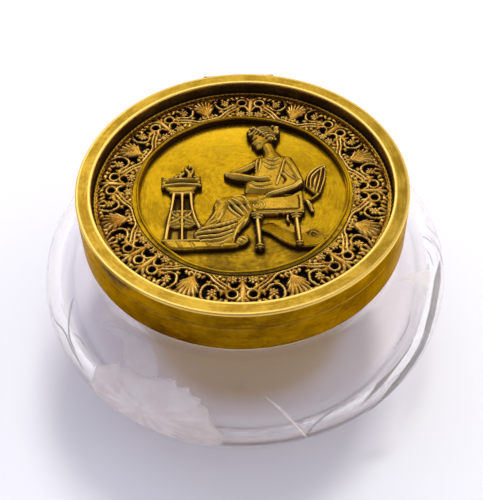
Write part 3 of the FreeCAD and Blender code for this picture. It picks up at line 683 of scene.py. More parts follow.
collar_low, collar_high = span("collar")
collar_radius = collar_high.x
COLLAR_WALL = 1.5
COLLAR_TOP = 1.2
collar_bore = collar_radius - COLLAR_WALL
outline, _ = rounded([
    (collar_bore, collar_low.z), (collar_radius, collar_low.z), (collar_radius, collar_high.z - 1.2),
    (collar_radius, collar_high.z), (bore, collar_high.z), (bore, collar_high.z - COLLAR_TOP),
    (collar_bore, collar_high.z - COLLAR_TOP),
], (0.1, EDGE_BREAK, 0, 2.0 * EDGE_BREAK, 0.2, 0.2, 0))
# The side faces of collar and lid, and the screws, take this darker copy: painted shade over brown tarnish
shaded_side_brass = gilt_brass("gilt_brass_side_shaded", GILT_SIDE_SHADED, GILT_BROWN, GILT_RUBBED_HIGHLIGHT, lathe_lines, 0.30, 0.00006)
# Darker along its foot, with a painted highlight along its top edge
collar = turned("collar_spun", outline, 0.5 * np.clip(1 - np.abs(outline[:, 1] - collar_low.z) / 0.3, 0, 1)
                - 0.6 * np.clip(1 - np.abs(outline[:, 1] - collar_high.z) / 0.4, 0, 1))
fit(collar, shaded_side_brass, "base", "gilt_brass", "collar")

# Hinge
# Two cast leaves riveted to the back of collar and lid, on a drawn pin with two heads.

HINGE_TONE = (0.46, 0.25, 0.02, 1.0)
hinge_brass = gilt_brass("hinge_brass", HINGE_TONE, GILT_BROWN, GILT_RUBBED_HIGHLIGHT, cast_skin, 0.36, 0.00005)
for node in ("hinge_leaf_lower", "hinge_leaf_upper", "hinge_rivets_lower", "hinge_rivets_upper",
             "hinge_pin"):
    repaint(node, hinge_brass)

# Lid ring
# A heavy turned ring: a flat flange, polished by wear, round a deep recess whose wall is dark with
# tarnish and painted shade, and the ring is darker underneath. A ledge inside holds the gallery,
# with four lugs for the back plate screws. Painted highlights, over worn gilding, run along the
# rounded edges of the flange.

FLANGE_GILT = (0.51, 0.315, 0.036, 1.0)
FLANGE_SHADE = (0.31, 0.175, 0.013, 1.0)
FLANGE_RUBBED_HIGHLIGHT = (0.90, 0.62, 0.17, 1.0)
FLANGE_WIDTH = 5.0
LEDGE_WIDTH = 2.4
LEDGE_THICKNESS = 1.0
LID_ROUND = 0.5
lid_low, lid_high = span("lid_ring")
flange_bore = collar_radius - FLANGE_WIDTH
ledge_bore = flange_bore - LEDGE_WIDTH
ledge_top = lid_low.z + LEDGE_THICKNESS
EDGE_RUB_AND_HIGHLIGHT = 0.9
corners = [
    (ledge_bore, lid_low.z), (collar_radius, lid_low.z), (collar_radius, lid_low.z + 1.0),
    (collar_radius, lid_high.z - 1.2), (collar_radius, lid_high.z),
    (collar_radius - LID_ROUND - EDGE_RUB_AND_HIGHLIGHT, lid_high.z), (flange_bore + LID_ROUND + EDGE_RUB_AND_HIGHLIGHT, lid_high.z),
    (flange_bore, lid_high.z), (flange_bore, lid_high.z - 1.1), (flange_bore, ledge_top),
    (ledge_bore, ledge_top),
]
outline, owners = rounded(corners, (0.1, EDGE_BREAK, 0, 0, LID_ROUND, 0, 0, LID_ROUND, 0, 0, 0.1))
# Painted highlights on the flange's rounded edges; painted shade underneath and down the recess wall
dark = np.array([0.7, 0.3, 0.0, 0.0, -0.9, 0.0, 0.0, -0.75, 0.7, 0.9, 1.0])[owners]
lid_brass = gilt_brass("gilt_brass_lid", FLANGE_GILT, FLANGE_SHADE, FLANGE_RUBBED_HIGHLIGHT, lathe_lines, 0.27, 0.00002,
                       streak=0.7)
lid_ring = turned("lid_ring_turned", outline, dark)
TARNISHED_AT = math.radians(-137)
TARNISH_SPREAD = math.radians(11)
TARNISH_MARK = 1.1
places = np.array([vertex.co for vertex in lid_ring.data.vertices]) / MM
tone_and_painted_light = lid_ring.data.attributes["tone_and_painted_light"].data
held = np.empty(len(tone_and_painted_light), np.float32)
tone_and_painted_light.foreach_get("value", held)
off = (np.arctan2(places[:, 1], places[:, 0]) - TARNISHED_AT) / TARNISH_SPREAD
out, above = np.hypot(places[:, 0], places[:, 1]), places[:, 2] - lid_low.z
on_side = (out > collar_radius - LID_ROUND / 2) & (above > 0.5)
held += TARNISH_MARK * np.exp(-off ** 2) * on_side * np.clip(above / (lid_high.z - lid_low.z), 0, 1)
tone_and_painted_light.foreach_set("value", held)
fit(lid_ring, lid_brass, "lid", "gilt_brass", "lid_ring")
# The side faces take the darker side copy of the gilt: painted shade
lid_ring.data.materials.append(shaded_side_brass)
for face in lid_ring.data.polygons:
    if abs(face.normal.z) < 0.4 and face.center.xy.length > (collar_radius - LID_ROUND) * MM:
        face.material_index = 1

# Gallery
# A cast and pierced scroll border with palmettes, rosettes and leaves, chased by hand and bent
# round the plaque. Its copper-red gilding is dark with tarnish in the hollows; its ridges carry
# painted highlights over worn gilding, and painted shade lies along the flanks of every strand.

SECTORS = 8
GALLERY_PITCH = 0.2
gallery_low, gallery_high = span("gallery")
gallery_radius = gallery_high.x
GALLERY_WIDTH = 14.3
gallery_bore = gallery_radius - GALLERY_WIDTH
middle_radius = gallery_radius - GALLERY_WIDTH / 2
half_sector = math.pi * middle_radius / SECTORS
columns = round(half_sector / GALLERY_PITCH)
step = half_sector / columns
PALMETTES = np.radians((19.5, 62.5, 107.0, 151.0, 195.5, 246.0, 291.5, 335.5, 379.5))
JOINT_SECTOR = 4
STRAND_SWELL = 1.22

# Half a sector: x runs from a palmette's middle to the bud between two, y across the band
scroll = Casting((step / 2, -2 * GALLERY_PITCH), (half_sector - step / 2, GALLERY_WIDTH + 2 * GALLERY_PITCH),
                 (step, GALLERY_PITCH), STRAND_SWELL)
for low, high, height in ((0.0, 1.75, 0.9), (12.75, GALLERY_WIDTH, 0.9)):
    edge = np.minimum(scroll.y - low, high - scroll.y)
    scroll.add(slice(None), edge, np.full(edge.shape, height))
# Palmette: a solid leaf with ribs that fan out from its foot
LEAF_EDGE = ((0.0, 12.7), (1.5, 12.6), (2.2, 12.0), (3.1, 11.7), (3.4, 10.7), (3.2, 10.0), (3.8, 9.2),
             (3.5, 8.2), (3.0, 7.7), (3.1, 6.8), (2.3, 5.8), (1.4, 4.6), (0.8, 3.6))
scroll.plate(LEAF_EDGE + tuple((-x, y) for x, y in LEAF_EDGE[:0:-1]), 0.85, 0.6)
leaf_mask = scroll.edge > 0
PALMETTE_FOOT = 4.0
for x, y in ((0.0, 12.5), (1.6, 12.2), (2.8, 11.1), (3.3, 9.4), (2.9, 7.4)):
    scroll.strand((0.1 * x, PALMETTE_FOOT, 0.20, 1.25), (0.45 * x, 0.5 * (y + PALMETTE_FOOT), 0.32, 1.5),
                  (0.8 * x, 0.85 * y + 0.15 * PALMETTE_FOOT, 0.46, 1.65), (x, y, 0.3, 1.4))
leaf_mask &= (scroll.y > 3.8) & (scroll.x < 4.0)
scroll.strand((0, 1.5, 0.6, 1.1), (0, 3.4, 0.45, 1.3), (0, PALMETTE_FOOT, 0.5, 1.4))
scroll.strand((0.2, 3.4, 0.35, 1.3), (1.4, 2.9, 0.38, 1.4), (2.1, 3.4, 0.34, 1.4), (1.7, 4.1, 0.3, 1.4))
# Upper C scroll round a rosette
scroll.strand((6.0, 12.6, 0.5, 1.1), (5.3, 11.6, 0.42, 1.4), (4.6, 10.5, 0.36, 1.6),
              (4.25, 8.9, 0.36, 1.75), (4.5, 7.3, 0.38, 1.75), (5.4, 6.1, 0.4, 1.7),
              (6.7, 5.8, 0.4, 1.5), (8.3, 6.3, 0.42, 1.5), (9.3, 7.4, 0.3, 1.4))


def small_flower(x, y, disc, reach, petal, first, heart):
    """Six petals on a disc, from the angle of the first one, round a heart of a height."""
    scroll.boss(x, y, *disc)
    for angle in range(first, first + 360, 60):
        turn = math.radians(angle)
        scroll.boss(x + reach[0] * math.cos(turn), y + reach[1] * math.sin(turn), *petal, 1.5, angle)
    scroll.boss(x, y, 0.5, 0.5, heart)


small_flower(7.4, 8.7, (1.35, 1.35, 1.15), (0.95, 0.95), (0.66, 0.52), 20, 1.75)
scroll.strand((8.2, 7.0, 0.4, 1.2), (7.9, 7.6, 0.5, 1.3))
scroll.strand((8.0, 9.6, 0.3, 1.2), (8.9, 10.8, 0.6, 1.4), (8.3, 12.6, 0.4, 1.1))
scroll.strand((7.1, 9.8, 0.2, 1.2), (6.9, 10.8, 0.5, 1.35), (7.4, 12.6, 0.4, 1.1))
# Lower scroll and the double stem that rises from it to the bud
scroll.strand((0.2, 2.0, 0.4, 1.3), (2.0, 1.9, 0.36, 1.4), (3.9, 2.1, 0.38, 1.5), (5.6, 2.9, 0.4, 1.5),
              (7.0, 4.1, 0.42, 1.5), (8.8, 5.2, 0.42, 1.5), (10.6, 6.3, 0.42, 1.5),
              (11.9, 7.6, 0.36, 1.4))
scroll.strand((5.6, 1.6, 0.4, 1.2), (7.4, 2.9, 0.34, 1.35), (9.2, 4.2, 0.34, 1.4), (11.0, 5.2, 0.34, 1.4),
              (12.3, 6.2, 0.32, 1.4))
LEAVES = (
    ((6.4, 4.4), (5.6, 5.0), (4.6, 4.7)), ((3.6, 2.4), (3.2, 3.4), (2.4, 3.9)),
    ((9.0, 3.9), (10.0, 3.1), (11.2, 3.3)), ((7.4, 2.7), (8.6, 2.2), (9.4, 1.7)),
    ((9.4, 6.6), (10.2, 7.8), (10.0, 9.2)), ((10.4, 6.4), (11.2, 7.6), (11.4, 8.8)),
    ((9.9, 12.6), (10.0, 11.4), (10.8, 10.4)), ((11.4, 12.6), (11.8, 11.5), (11.6, 10.3)),
    ((12.6, 12.7), (13.4, 11.7), (14.4, 11.3)), ((2.2, 12.7), (2.9, 11.7), (2.6, 10.8)),
    ((4.2, 12.7), (4.3, 11.9), (3.4, 11.4)), ((11.4, 1.5), (11.6, 2.6), (11.0, 4.4)),
)
for root, belly_point, tip in LEAVES:
    scroll.strand((*root, 0.3, 1.1), (*belly_point, 0.55, 1.4), (*tip, 0.15, 1.15))
    scroll.fold((*root, 0.12, -0.1), (*belly_point, 0.2, -0.28), (*tip, 0.1, -0.1))
# Round eyelets, the arch below them, and the small flowers at the foot of the bud
EYELET = (13.35, 8.5)
ring = np.linspace(0, 2 * math.pi, 13)
scroll.strand(*[(EYELET[0] + 1.65 * math.cos(a), EYELET[1] + 1.6 * math.sin(a), 0.42, 1.4)
                for a in ring])
scroll.strand((11.9, 4.4, 0.36, 1.3), (12.2, 5.8, 0.38, 1.45), (13.4, 6.7, 0.4, 1.5),
              (14.8, 6.3, 0.38, 1.45), (15.5, 5.0, 0.36, 1.3))
for x in (half_sector, half_sector - 3.3):
    small_flower(x, 2.9, (1.5, 1.4, 1.0), (1.0, 0.95), (0.64, 0.5), 30, 1.8)
# Bud between two sectors, opening to a trefoil under the outer rail
scroll.strand((half_sector, 3.6, 0.9, 1.3), (half_sector, 6.0, 0.8, 1.5), (half_sector, 8.2, 0.95, 1.6),
              (half_sector, 10.0, 0.9, 1.55), (half_sector, 12.6, 0.5, 1.2))
scroll.strand((half_sector, 8.6, 0.5, 1.4), (half_sector - 0.9, 10.4, 0.7, 1.5),
              (half_sector - 1.9, 11.6, 0.3, 1.2), (half_sector - 2.0, 12.7, 0.3, 1.0))
scroll.soften(1)
# Eight sectors make the band. Where its ends meet, one more pair of eyelets was let in.
half_columns = scroll.x.shape[1]
tail_columns = round((half_sector - EYELET[0]) / step)


def laid_out(half):
    """Half a sector's field, laid out over the whole band, from the first palmette."""
    tail = half[:, -tail_columns:]
    runs = []
    for sector in range(SECTORS):
        runs += [half] + ([tail[:, ::-1], tail] if sector == JOINT_SECTOR else []) + [half[:, ::-1]]
    return np.concatenate(runs, 1)


gallery = Casting((0, 0), (1, 1), 1)
gallery.pitch = scroll.pitch
gallery.edge, gallery.top = laid_out(scroll.edge), laid_out(scroll.top)
gallery.x = np.tile(step * (np.arange(gallery.edge.shape[1]) + 0.5), (scroll.x.shape[0], 1))
gallery.y = np.tile(scroll.y[:, :1], (1, gallery.edge.shape[1]))
palmette_columns = [2 * half_columns * k + (2 * tail_columns if k > JOINT_SECTOR else 0)
                    for k in range(SECTORS + 1)]


def round_band(x, y, height):
    """Places on the gallery: x along the band from the first palmette, y out across it."""
    turn = np.interp(x, step * np.array(palmette_columns), PALMETTES)
    radius = gallery_bore + y
    return np.stack([radius * np.cos(turn), radius * np.sin(turn), gallery_low.z + height], 1)


rise = (gallery.top - gallery.blurred(8)) / 0.15
turn = 2 * math.pi * gallery.x / (gallery.x.max() + step)
chance = (np.sin(37 * turn + 0.8 * gallery.y) + np.sin(61 * turn - 1.1 * gallery.y + 2)
          + np.sin(23 * turn + 0.5 * gallery.y + 1))
worn_leaves = laid_out(np.where(leaf_mask, 1.0, 0.0))
# Dark tarnish in the hollows, painted highlights on the ridges, and painted shade near every outline
gallery_held = ((1.3 - 0.7 * worn_leaves) * np.clip(-rise, 0, 1)
                - (0.85 - 0.35 * worn_leaves) * np.clip(rise, 0, 1)
                + 0.12 * chance + 0.6 * np.clip(1 - gallery.edge / 0.25, 0, 1))
COPPER_GILT = (0.58, 0.32, 0.045, 1.0)
COPPER_SHADE = (0.31, 0.12, 0.012, 1.0)
COPPER_RUBBED_HIGHLIGHT = (0.95, 0.64, 0.18, 1.0)
gallery_brass = gilt_brass("gallery_brass", COPPER_GILT, COPPER_SHADE, COPPER_RUBBED_HIGHLIGHT, cast_skin, 0.26,
                           0.00008)
fit(gallery.piece("gallery_pierced", round_band, gallery_held, wrap=True), gallery_brass, "lid",
    "cast_brass", "gallery")

# Rope edge
# Two brass wires twisted together and soldered round the outside of the gallery.

ROPE_TWISTS = 170
ROPE_STEPS = 8
WIRE_SIDES = 10


def wire_ring(name, node, steps, shape, sides=WIRE_SIDES):
    """A wire laid in a ring where a CAD node is; shape gives its size from turn and side."""
    low, high = span(node)
    half_height = (high.z - low.z) / 2
    points = []
    for k in range(steps):
        turn = 2 * math.pi * k / steps
        for side in range(sides):
            angle = 2 * math.pi * side / sides
            out, up, reach = shape(turn, angle)
            radius = reach + out
            points.append((radius * math.cos(turn), radius * math.sin(turn),
                           low.z + half_height * (1 + up)))
    faces = []
    for k in range(steps):
        for side in range(sides):
            after, beside = (k + 1) % steps, (side + 1) % sides
            faces.append((k * sides + side, after * sides + side, after * sides + beside,
                          k * sides + beside))
    made = new_object(name, points, faces, smooth_angle=60.0)
    set_tone_and_light(made, np.zeros(len(points)))
    return made


ROPE_WIDTH = 1.1
rope_radius = gallery_radius - ROPE_WIDTH / 2


def twisted(turn, angle):
    swell = 0.58 + 0.42 * abs(math.cos(angle + ROPE_TWISTS * turn / 2))
    return (ROPE_WIDTH / 2 * swell * math.cos(angle), swell * math.sin(angle), rope_radius)


rope_brass = gilt_brass("rope_brass", FLANGE_GILT, FLANGE_SHADE, FLANGE_RUBBED_HIGHLIGHT, cast_skin, 0.32, 0.00004)
fit(wire_ring("gallery_rope_twisted", "gallery_rope", ROPE_TWISTS * ROPE_STEPS, twisted), rope_brass,
    "lid", "cast_brass", "gallery_rope")

# Plaque
# A thin brass dish, pressed into the opening of the gallery and brushed in arcs by hand. Its
# flange lies on the gallery and its field is a little uneven.

PLAQUE_GILT = (0.48, 0.275, 0.007, 1.0)
PLAQUE_SHADE = (0.29, 0.16, 0.005, 1.0)
PLAQUE_RUBBED_HIGHLIGHT = (0.78, 0.48, 0.02, 1.0)
DISH_RADIUS = 34.2
DISH_WALL = 0.8
SHEET_EDGE = 0.25
PLAQUE_SHEET = 0.5
FIELD_CROWN = 0.25
plaque_low, plaque_high = span("plaque")
flange_radius = plaque_high.x
field_radius = DISH_RADIUS - SHEET_EDGE
field_height = plaque_low.z + DISH_WALL
flange_foot = plaque_high.z - PLAQUE_SHEET
shares = np.linspace(1, 0, 90)
field = [(field_radius * share, field_height + FIELD_CROWN * (1 - share ** 2)) for share in shares]
outline = np.concatenate([
    [(0, plaque_low.z), (DISH_RADIUS, plaque_low.z), (DISH_RADIUS, flange_foot),
     (flange_radius, flange_foot), (flange_radius, plaque_high.z), (field_radius, plaque_high.z)],
    field])
# The dish is darker underneath and on its flange, and the field darkens towards its wall: painted shade
dark = np.concatenate([[0.5, 0.5, 0.5, 0.5, 0.1, 0.2], 0.4 * np.clip((shares - 0.96) / 0.04, 0, 1)])
plaque_brass = gilt_brass("plaque_brass", PLAQUE_GILT, PLAQUE_SHADE, PLAQUE_RUBBED_HIGHLIGHT, lathe_lines, 0.30,
                          0.000015, streak=0.8)
plaque = turned("plaque_dish", outline, dark)
fit(plaque, plaque_brass, "lid", "gilt_brass", "plaque")

# Plaque frame and milled wire
# A narrow strip bent round the field by hand, so it wanders a little and lies nearly flat in front,
# and a fine milled wire along its foot.

FRAME_WIDTH = 0.85
frame_middle = field_radius + FRAME_WIDTH / 2
FLAT_IN_FRONT = 0.75


def bent_strip(turn, angle):
    wander = 0.16 * math.sin(3 * turn + 0.6) + 0.12 * math.sin(7 * turn + 2.0) + 0.08 * math.sin(17 * turn)
    front = min(max(-0.2 - math.sin(turn), 0.0) / 0.6, 1.0)
    height = 1 - FLAT_IN_FRONT * front
    return (FRAME_WIDTH / 2 * math.cos(angle), height * (1 + math.sin(angle)) - 1, frame_middle + wander)


frame_brass = gilt_brass("frame_brass", PLAQUE_GILT, PLAQUE_SHADE, PLAQUE_RUBBED_HIGHLIGHT, cast_skin, 0.30, 0.00004)
fit(wire_ring("plaque_frame_strip", "plaque_frame", 480, bent_strip, 16), frame_brass, "lid",
    "cast_brass", "plaque_frame")
MILLED_TEETH = 330
BEAD_WIDTH = 0.9
bead_middle = span("plaque_bead")[1].x - BEAD_WIDTH / 2


def milled(turn, angle):
    front = min(max(0.1 - math.sin(turn), 0.0) / 0.6, 1.0)
    swell = (0.35 + 0.65 * front) * (0.72 + 0.28 * math.cos(MILLED_TEETH * turn))
    return (BEAD_WIDTH / 2 * swell * math.cos(angle), swell * math.sin(angle), bead_middle)


fit(wire_ring("plaque_bead_milled", "plaque_bead", MILLED_TEETH * 6, milled, 8), rope_brass, "lid",
    "cast_brass", "plaque_bead")

# Relief ground
# A cast strip of ground under the brazier and the foot, and a mound that carries the chair, with
# a tuft of grass. All the figures are cast apart, chased, and soldered to the plaque.

FIGURE_PITCH = 0.16
FIGURE_GILT = (0.49, 0.288, 0.024, 1.0)
FIGURE_SHADE = (0.30, 0.160, 0.011, 1.0)
RELIEF_DEPTH = 1.25
OPEN_HEIGHT = 0.18
FIGURE_RUBBED_HIGHLIGHT = (0.82, 0.55, 0.13, 1.0)
figure_brass = gilt_brass("figure_brass", FIGURE_GILT, FIGURE_SHADE, FIGURE_RUBBED_HIGHLIGHT, cast_skin, 0.27,
                          0.00006, wear=0.52)


def on_field(x, y, height):
    """Places on the plaque, with heights above its field."""
    return np.stack([x, y, field_height + RELIEF_DEPTH * height], 1)


def set_on_plaque(casting, name, node, crease=0.16, open_shade=1.0, edge_shade=0.3):
    """Fits a cast figure: dark tarnish in its creases, painted shade in its low openings and near its outline,
    and painted highlights over worn gilding on its ridges.
    """
    rise = (casting.top - casting.blurred(16)) / crease
    # Dark tarnish in creases, painted shade in low parts and near the outline, painted highlights on ridges
    held = (np.clip(-rise, 0, 1) - 0.85 * np.clip(rise, 0, 1) + open_shade * (casting.top < OPEN_HEIGHT)
            + edge_shade * np.clip(1 - casting.edge / 0.35, 0, 1))
    fit(casting.piece(name, on_field, held), figure_brass, "lid", "cast_brass", node)


ground = Casting((-27, -27), (28, -11), FIGURE_PITCH)
ground.plate([(5.2, -17.0), (8.6, -19.4), (12.6, -23.0), (16.6, -25.0), (22.6, -24.9), (24.6, -23.4),
              (25.0, -20.4), (21.0, -16.0), (14.0, -13.6), (8.0, -13.8)], 1.6, 0.7)
foot_line = np.interp(ground.x, (5.2, 8.6, 12.6, 16.6, 22.6, 25.0),
                      (-17.0, -19.4, -23.0, -25.0, -24.9, -22.6))
ground.top *= np.clip(1 - (ground.y - foot_line) / 8.0, 0.15, 1) ** 1.3
ground.plate([(-25.0, -21.6), (-22.2, -24.8), (-14.0, -24.9), (-3.0, -24.6), (-2.6, -22.9), (-12.0, -22.0),
              (-23.0, -21.0)], 1.7, 0.7)
ground.strand((20.6, -19.6, 0.3, 0.9), (21.2, -18.6, 0.35, 1.1), (22.4, -18.9, 0.4, 1.2),
              (24.0, -20.2, 0.35, 1.1), (26.2, -21.4, 0.2, 0.9))
ground.strand((20.0, -18.4, 0.25, 0.8), (21.6, -17.6, 0.3, 1.0), (23.6, -18.2, 0.2, 0.8))
for x, height in ((-21, 0.2), (-17, -0.2), (-12, 0.2), (-8, -0.15)):
    ground.fold((x, -21.8, 0.6, height), (x + 1.2, -24.0, 0.8, height))
ground.soften(1)
set_on_plaque(ground, "relief_ground_cast", "relief_ground", 0.6, 0.0, 0.1)

# Brazier
# A fire bowl with horned rim on a tripod stand, cast in one with its flames and a pierced panel.

brazier = Casting((-28, -24), (-11, 16), FIGURE_PITCH)
# A thin sheet between the legs, lower than OPEN_HEIGHT: painted shade where the field shows through
brazier.plate([(-22.6, 0), (-16.6, 0), (-15.6, -9), (-14.6, -20.8), (-24.6, -20.8), (-23.6, -9)], 0.16, 0.4)
brazier.plate([(-25.6, 5.2), (-14.4, 5.2), (-14.0, 2.6), (-15.2, 0.8), (-17.2, -0.6), (-22.4, -0.6),
               (-24.8, 0.8), (-26.0, 2.6)], 1.7, 0.9)
brazier.strand((-25.8, 5.1, 0.42, 2.0), (-20.0, 5.2, 0.42, 2.2), (-14.2, 5.1, 0.42, 2.0))
brazier.strand((-26.0, 2.2, 0.6, 2.1), (-20.0, 2.7, 0.66, 2.4), (-13.8, 2.2, 0.6, 2.1))
brazier.fold((-25.0, 3.9, 0.5, -0.5), (-20.0, 4.1, 0.55, -0.6), (-14.8, 3.9, 0.5, -0.5))
brazier.strand((-24.6, 4.8, 0.55, 2.0), (-25.6, 5.7, 0.45, 1.9), (-26.5, 6.7, 0.2, 1.6))
brazier.strand((-15.0, 4.8, 0.55, 2.0), (-14.4, 5.7, 0.45, 1.9), (-13.8, 6.6, 0.2, 1.6))
brazier.strand((-23.4, -0.4, 0.5, 1.6), (-19.8, -0.9, 0.55, 1.8), (-16.0, -0.4, 0.5, 1.6))
for x, lean, height, width in ((-23.0, -0.4, 7.4, 0.5), (-21.4, -0.5, 8.6, 0.6), (-19.8, -0.6, 10.0, 0.7),
                               (-18.0, 0.6, 12.8, 0.8), (-16.6, -0.4, 10.6, 0.7), (-15.4, 0.4, 7.6, 0.5)):
    rise = height - 5.0
    brazier.strand((x, 5.0, width, 1.4), (x + lean, 5.0 + 0.4 * rise, width, 1.7),
                   (x - lean, 5.0 + 0.72 * rise, 0.75 * width, 1.6), (x + 0.5 * lean, height, 0.12, 1.0))
brazier.strand((-17.6, 9.0, 0.4, 1.5), (-16.2, 9.6, 0.45, 1.6), (-16.4, 11.2, 0.4, 1.5),
               (-17.6, 11.0, 0.25, 1.3))
brazier.strand((-22.3, -0.8, 0.75, 1.7), (-23.0, -7.5, 0.6, 1.6), (-24.0, -15.0, 0.7, 1.6),
               (-24.7, -21.4, 0.8, 1.5))
brazier.strand((-19.6, -0.8, 0.7, 1.8), (-19.5, -8.0, 0.5, 1.7), (-19.4, -21.0, 0.6, 1.6))
brazier.strand((-16.8, -0.8, 0.75, 1.7), (-16.4, -6.5, 0.6, 1.6), (-15.4, -11.5, 0.65, 1.6),
               (-13.9, -15.4, 0.7, 1.4))
brazier.plate([(-23.3, -8.3), (-16.2, -8.3), (-15.2, -14.6), (-24.0, -14.6)], 1.1, 0.4)
LATTICE = (
    ((-23.0, -8.6), (-19.6, -8.9), (-16.4, -8.6)), ((-23.6, -14.3), (-19.6, -14.0), (-15.6, -14.3)),
    ((-22.8, -9.2), (-21.4, -10.6), (-19.6, -11.4)), ((-16.6, -9.2), (-17.8, -10.6), (-19.6, -11.4)),
    ((-23.4, -13.6), (-21.4, -12.4), (-19.6, -11.4)), ((-15.8, -13.6), (-17.8, -12.4), (-19.6, -11.4)),
)
for strand in LATTICE:
    brazier.strand(*[(*point, 0.36, 1.6) for point in strand])
for x, y in ((-22.4, -11.4), (-17.0, -11.4), (-19.6, -12.9), (-19.6, -10.0)):
    brazier.boss(x, y, 0.7, 0.7, 1.6)
brazier.strand((-25.2, -21.2, 0.6, 1.7), (-19.6, -21.4, 0.6, 1.8), (-14.0, -21.2, 0.6, 1.7))
brazier.soften(1)
set_on_plaque(brazier, "brazier_cast", "brazier", 0.2, 0.5)

# Chair
# A low chair with a solid side, turned legs and a back like a fan, with a tassel on its cord.

chair = Casting((1, -28), (30, 13), FIGURE_PITCH)
chair.plate([(2.6, -7.0), (3.2, -5.0), (5.4, -4.0), (10.0, -3.6), (15.0, -3.2), (19.2, -1.2), (19.5, -6.0),
             (19.1, -10.2), (12.0, -10.4), (4.6, -10.4), (2.9, -9.3)], 1.45, 0.5)
chair.fold((4.4, -9.3, 0.4, -0.35), (9.0, -9.2, 0.4, -0.4), (17.6, -9.2, 0.4, -0.35))
chair.fold((18.0, -8.8, 0.4, -0.35), (18.2, -5.6, 0.4, -0.4), (18.0, -3.4, 0.4, -0.3))
chair.strand((6.4, -8.6, 0.3, 1.6), (7.0, -7.0, 0.36, 1.75), (6.0, -5.4, 0.36, 1.75), (4.2, -5.4, 0.36, 1.7),
             (3.4, -7.0, 0.36, 1.7), (4.2, -8.4, 0.34, 1.7), (5.4, -7.8, 0.3, 1.7), (5.2, -6.8, 0.26, 1.7))
chair.strand((2.9, -10.9, 0.55, 1.8), (11.0, -10.8, 0.5, 1.8), (19.2, -10.7, 0.55, 1.8))
for x, low_x, foot_y in ((4.5, 4.9, -25.6), (16.9, 17.3, -24.8)):
    chair.strand((x, -11.4, 0.85, 2.0), (x, -13.0, 0.8, 2.0), (0.5 * (x + low_x), -18.0, 0.95, 2.1),
                 (low_x, -23.0, 0.7, 1.9), (low_x, foot_y, 0.75, 1.8))
    for middle, y, reach in ((x, -12.0, 1.5), (x, -13.0, 1.05), (low_x, foot_y + 1.2, 0.95),
                             (low_x, foot_y + 0.2, 1.1)):
        chair.strand((middle - reach, y, 0.36, 2.0), (middle, y, 0.42, 2.3), (middle + reach, y, 0.36, 2.0))
chair.strand((14.2, -12.0, 0.5, 1.6), (14.0, -13.6, 0.4, 1.5), (14.6, -14.6, 0.2, 1.2))
chair.plate([(20.4, 0.8), (21.2, 5.2), (23.4, 8.4), (26.8, 10.4), (28.0, 9.6), (27.8, 6.0), (26.8, 1.6),
             (25.4, -2.8), (23.6, -3.0), (21.6, -0.8)], 1.3, 0.6)
BACK_RIBS = (
    ((20.9, 0.6), (21.8, 5.0), (24.2, 8.2), (27.4, 9.9)), ((22.2, 0.0), (22.8, 4.4), (24.8, 7.2), (27.2, 9.0)),
    ((25.2, -2.2), (26.6, 2.2), (27.5, 6.4), (27.6, 9.4)), ((24.0, -1.8), (25.2, 2.4), (25.9, 5.6), (26.4, 8.0)),
)
for rib in BACK_RIBS:
    chair.strand(*[(*point, 0.4, 1.9) for point in rib])
chair.strand((23.4, 0.4, 0.3, 1.5), (24.0, 3.2, 0.6, 1.7), (24.8, 5.6, 0.2, 1.5))
chair.strand((24.4, -3.0, 0.5, 1.5), (23.4, -4.0, 0.4, 1.4), (22.4, -4.8, 0.4, 1.4), (21.2, -5.4, 0.4, 1.4))
chair.strand((20.4, -5.4, 0.5, 1.6), (21.4, -7.2, 0.9, 1.9), (22.2, -10.2, 0.7, 1.6))
for x in (20.9, 21.5, 22.1):
    chair.fold((x - 0.5, -6.4, 0.25, -0.3), (x + 0.3, -9.6, 0.25, -0.4))
# Two thin sheets under the seat, lower than OPEN_HEIGHT: painted shade
for x, half_width in ((8.6, 1.9), (14.2, 1.1)):
    chair.plate([(x - half_width, -11.4), (x + half_width, -11.4), (x + 0.8 * half_width, -13.0),
                 (x - 0.8 * half_width, -13.0)], 0.14, 0.3)
chair.soften(1)
set_on_plaque(chair, "chair_cast", "chair")

# Seated woman
# She sits facing left in a long dress, one arm bent in front of her and one on her lap. The face
# is plain and calm, and the hair is bound up at the back.

woman = Casting((-18, -27), (22, 32), FIGURE_PITCH)
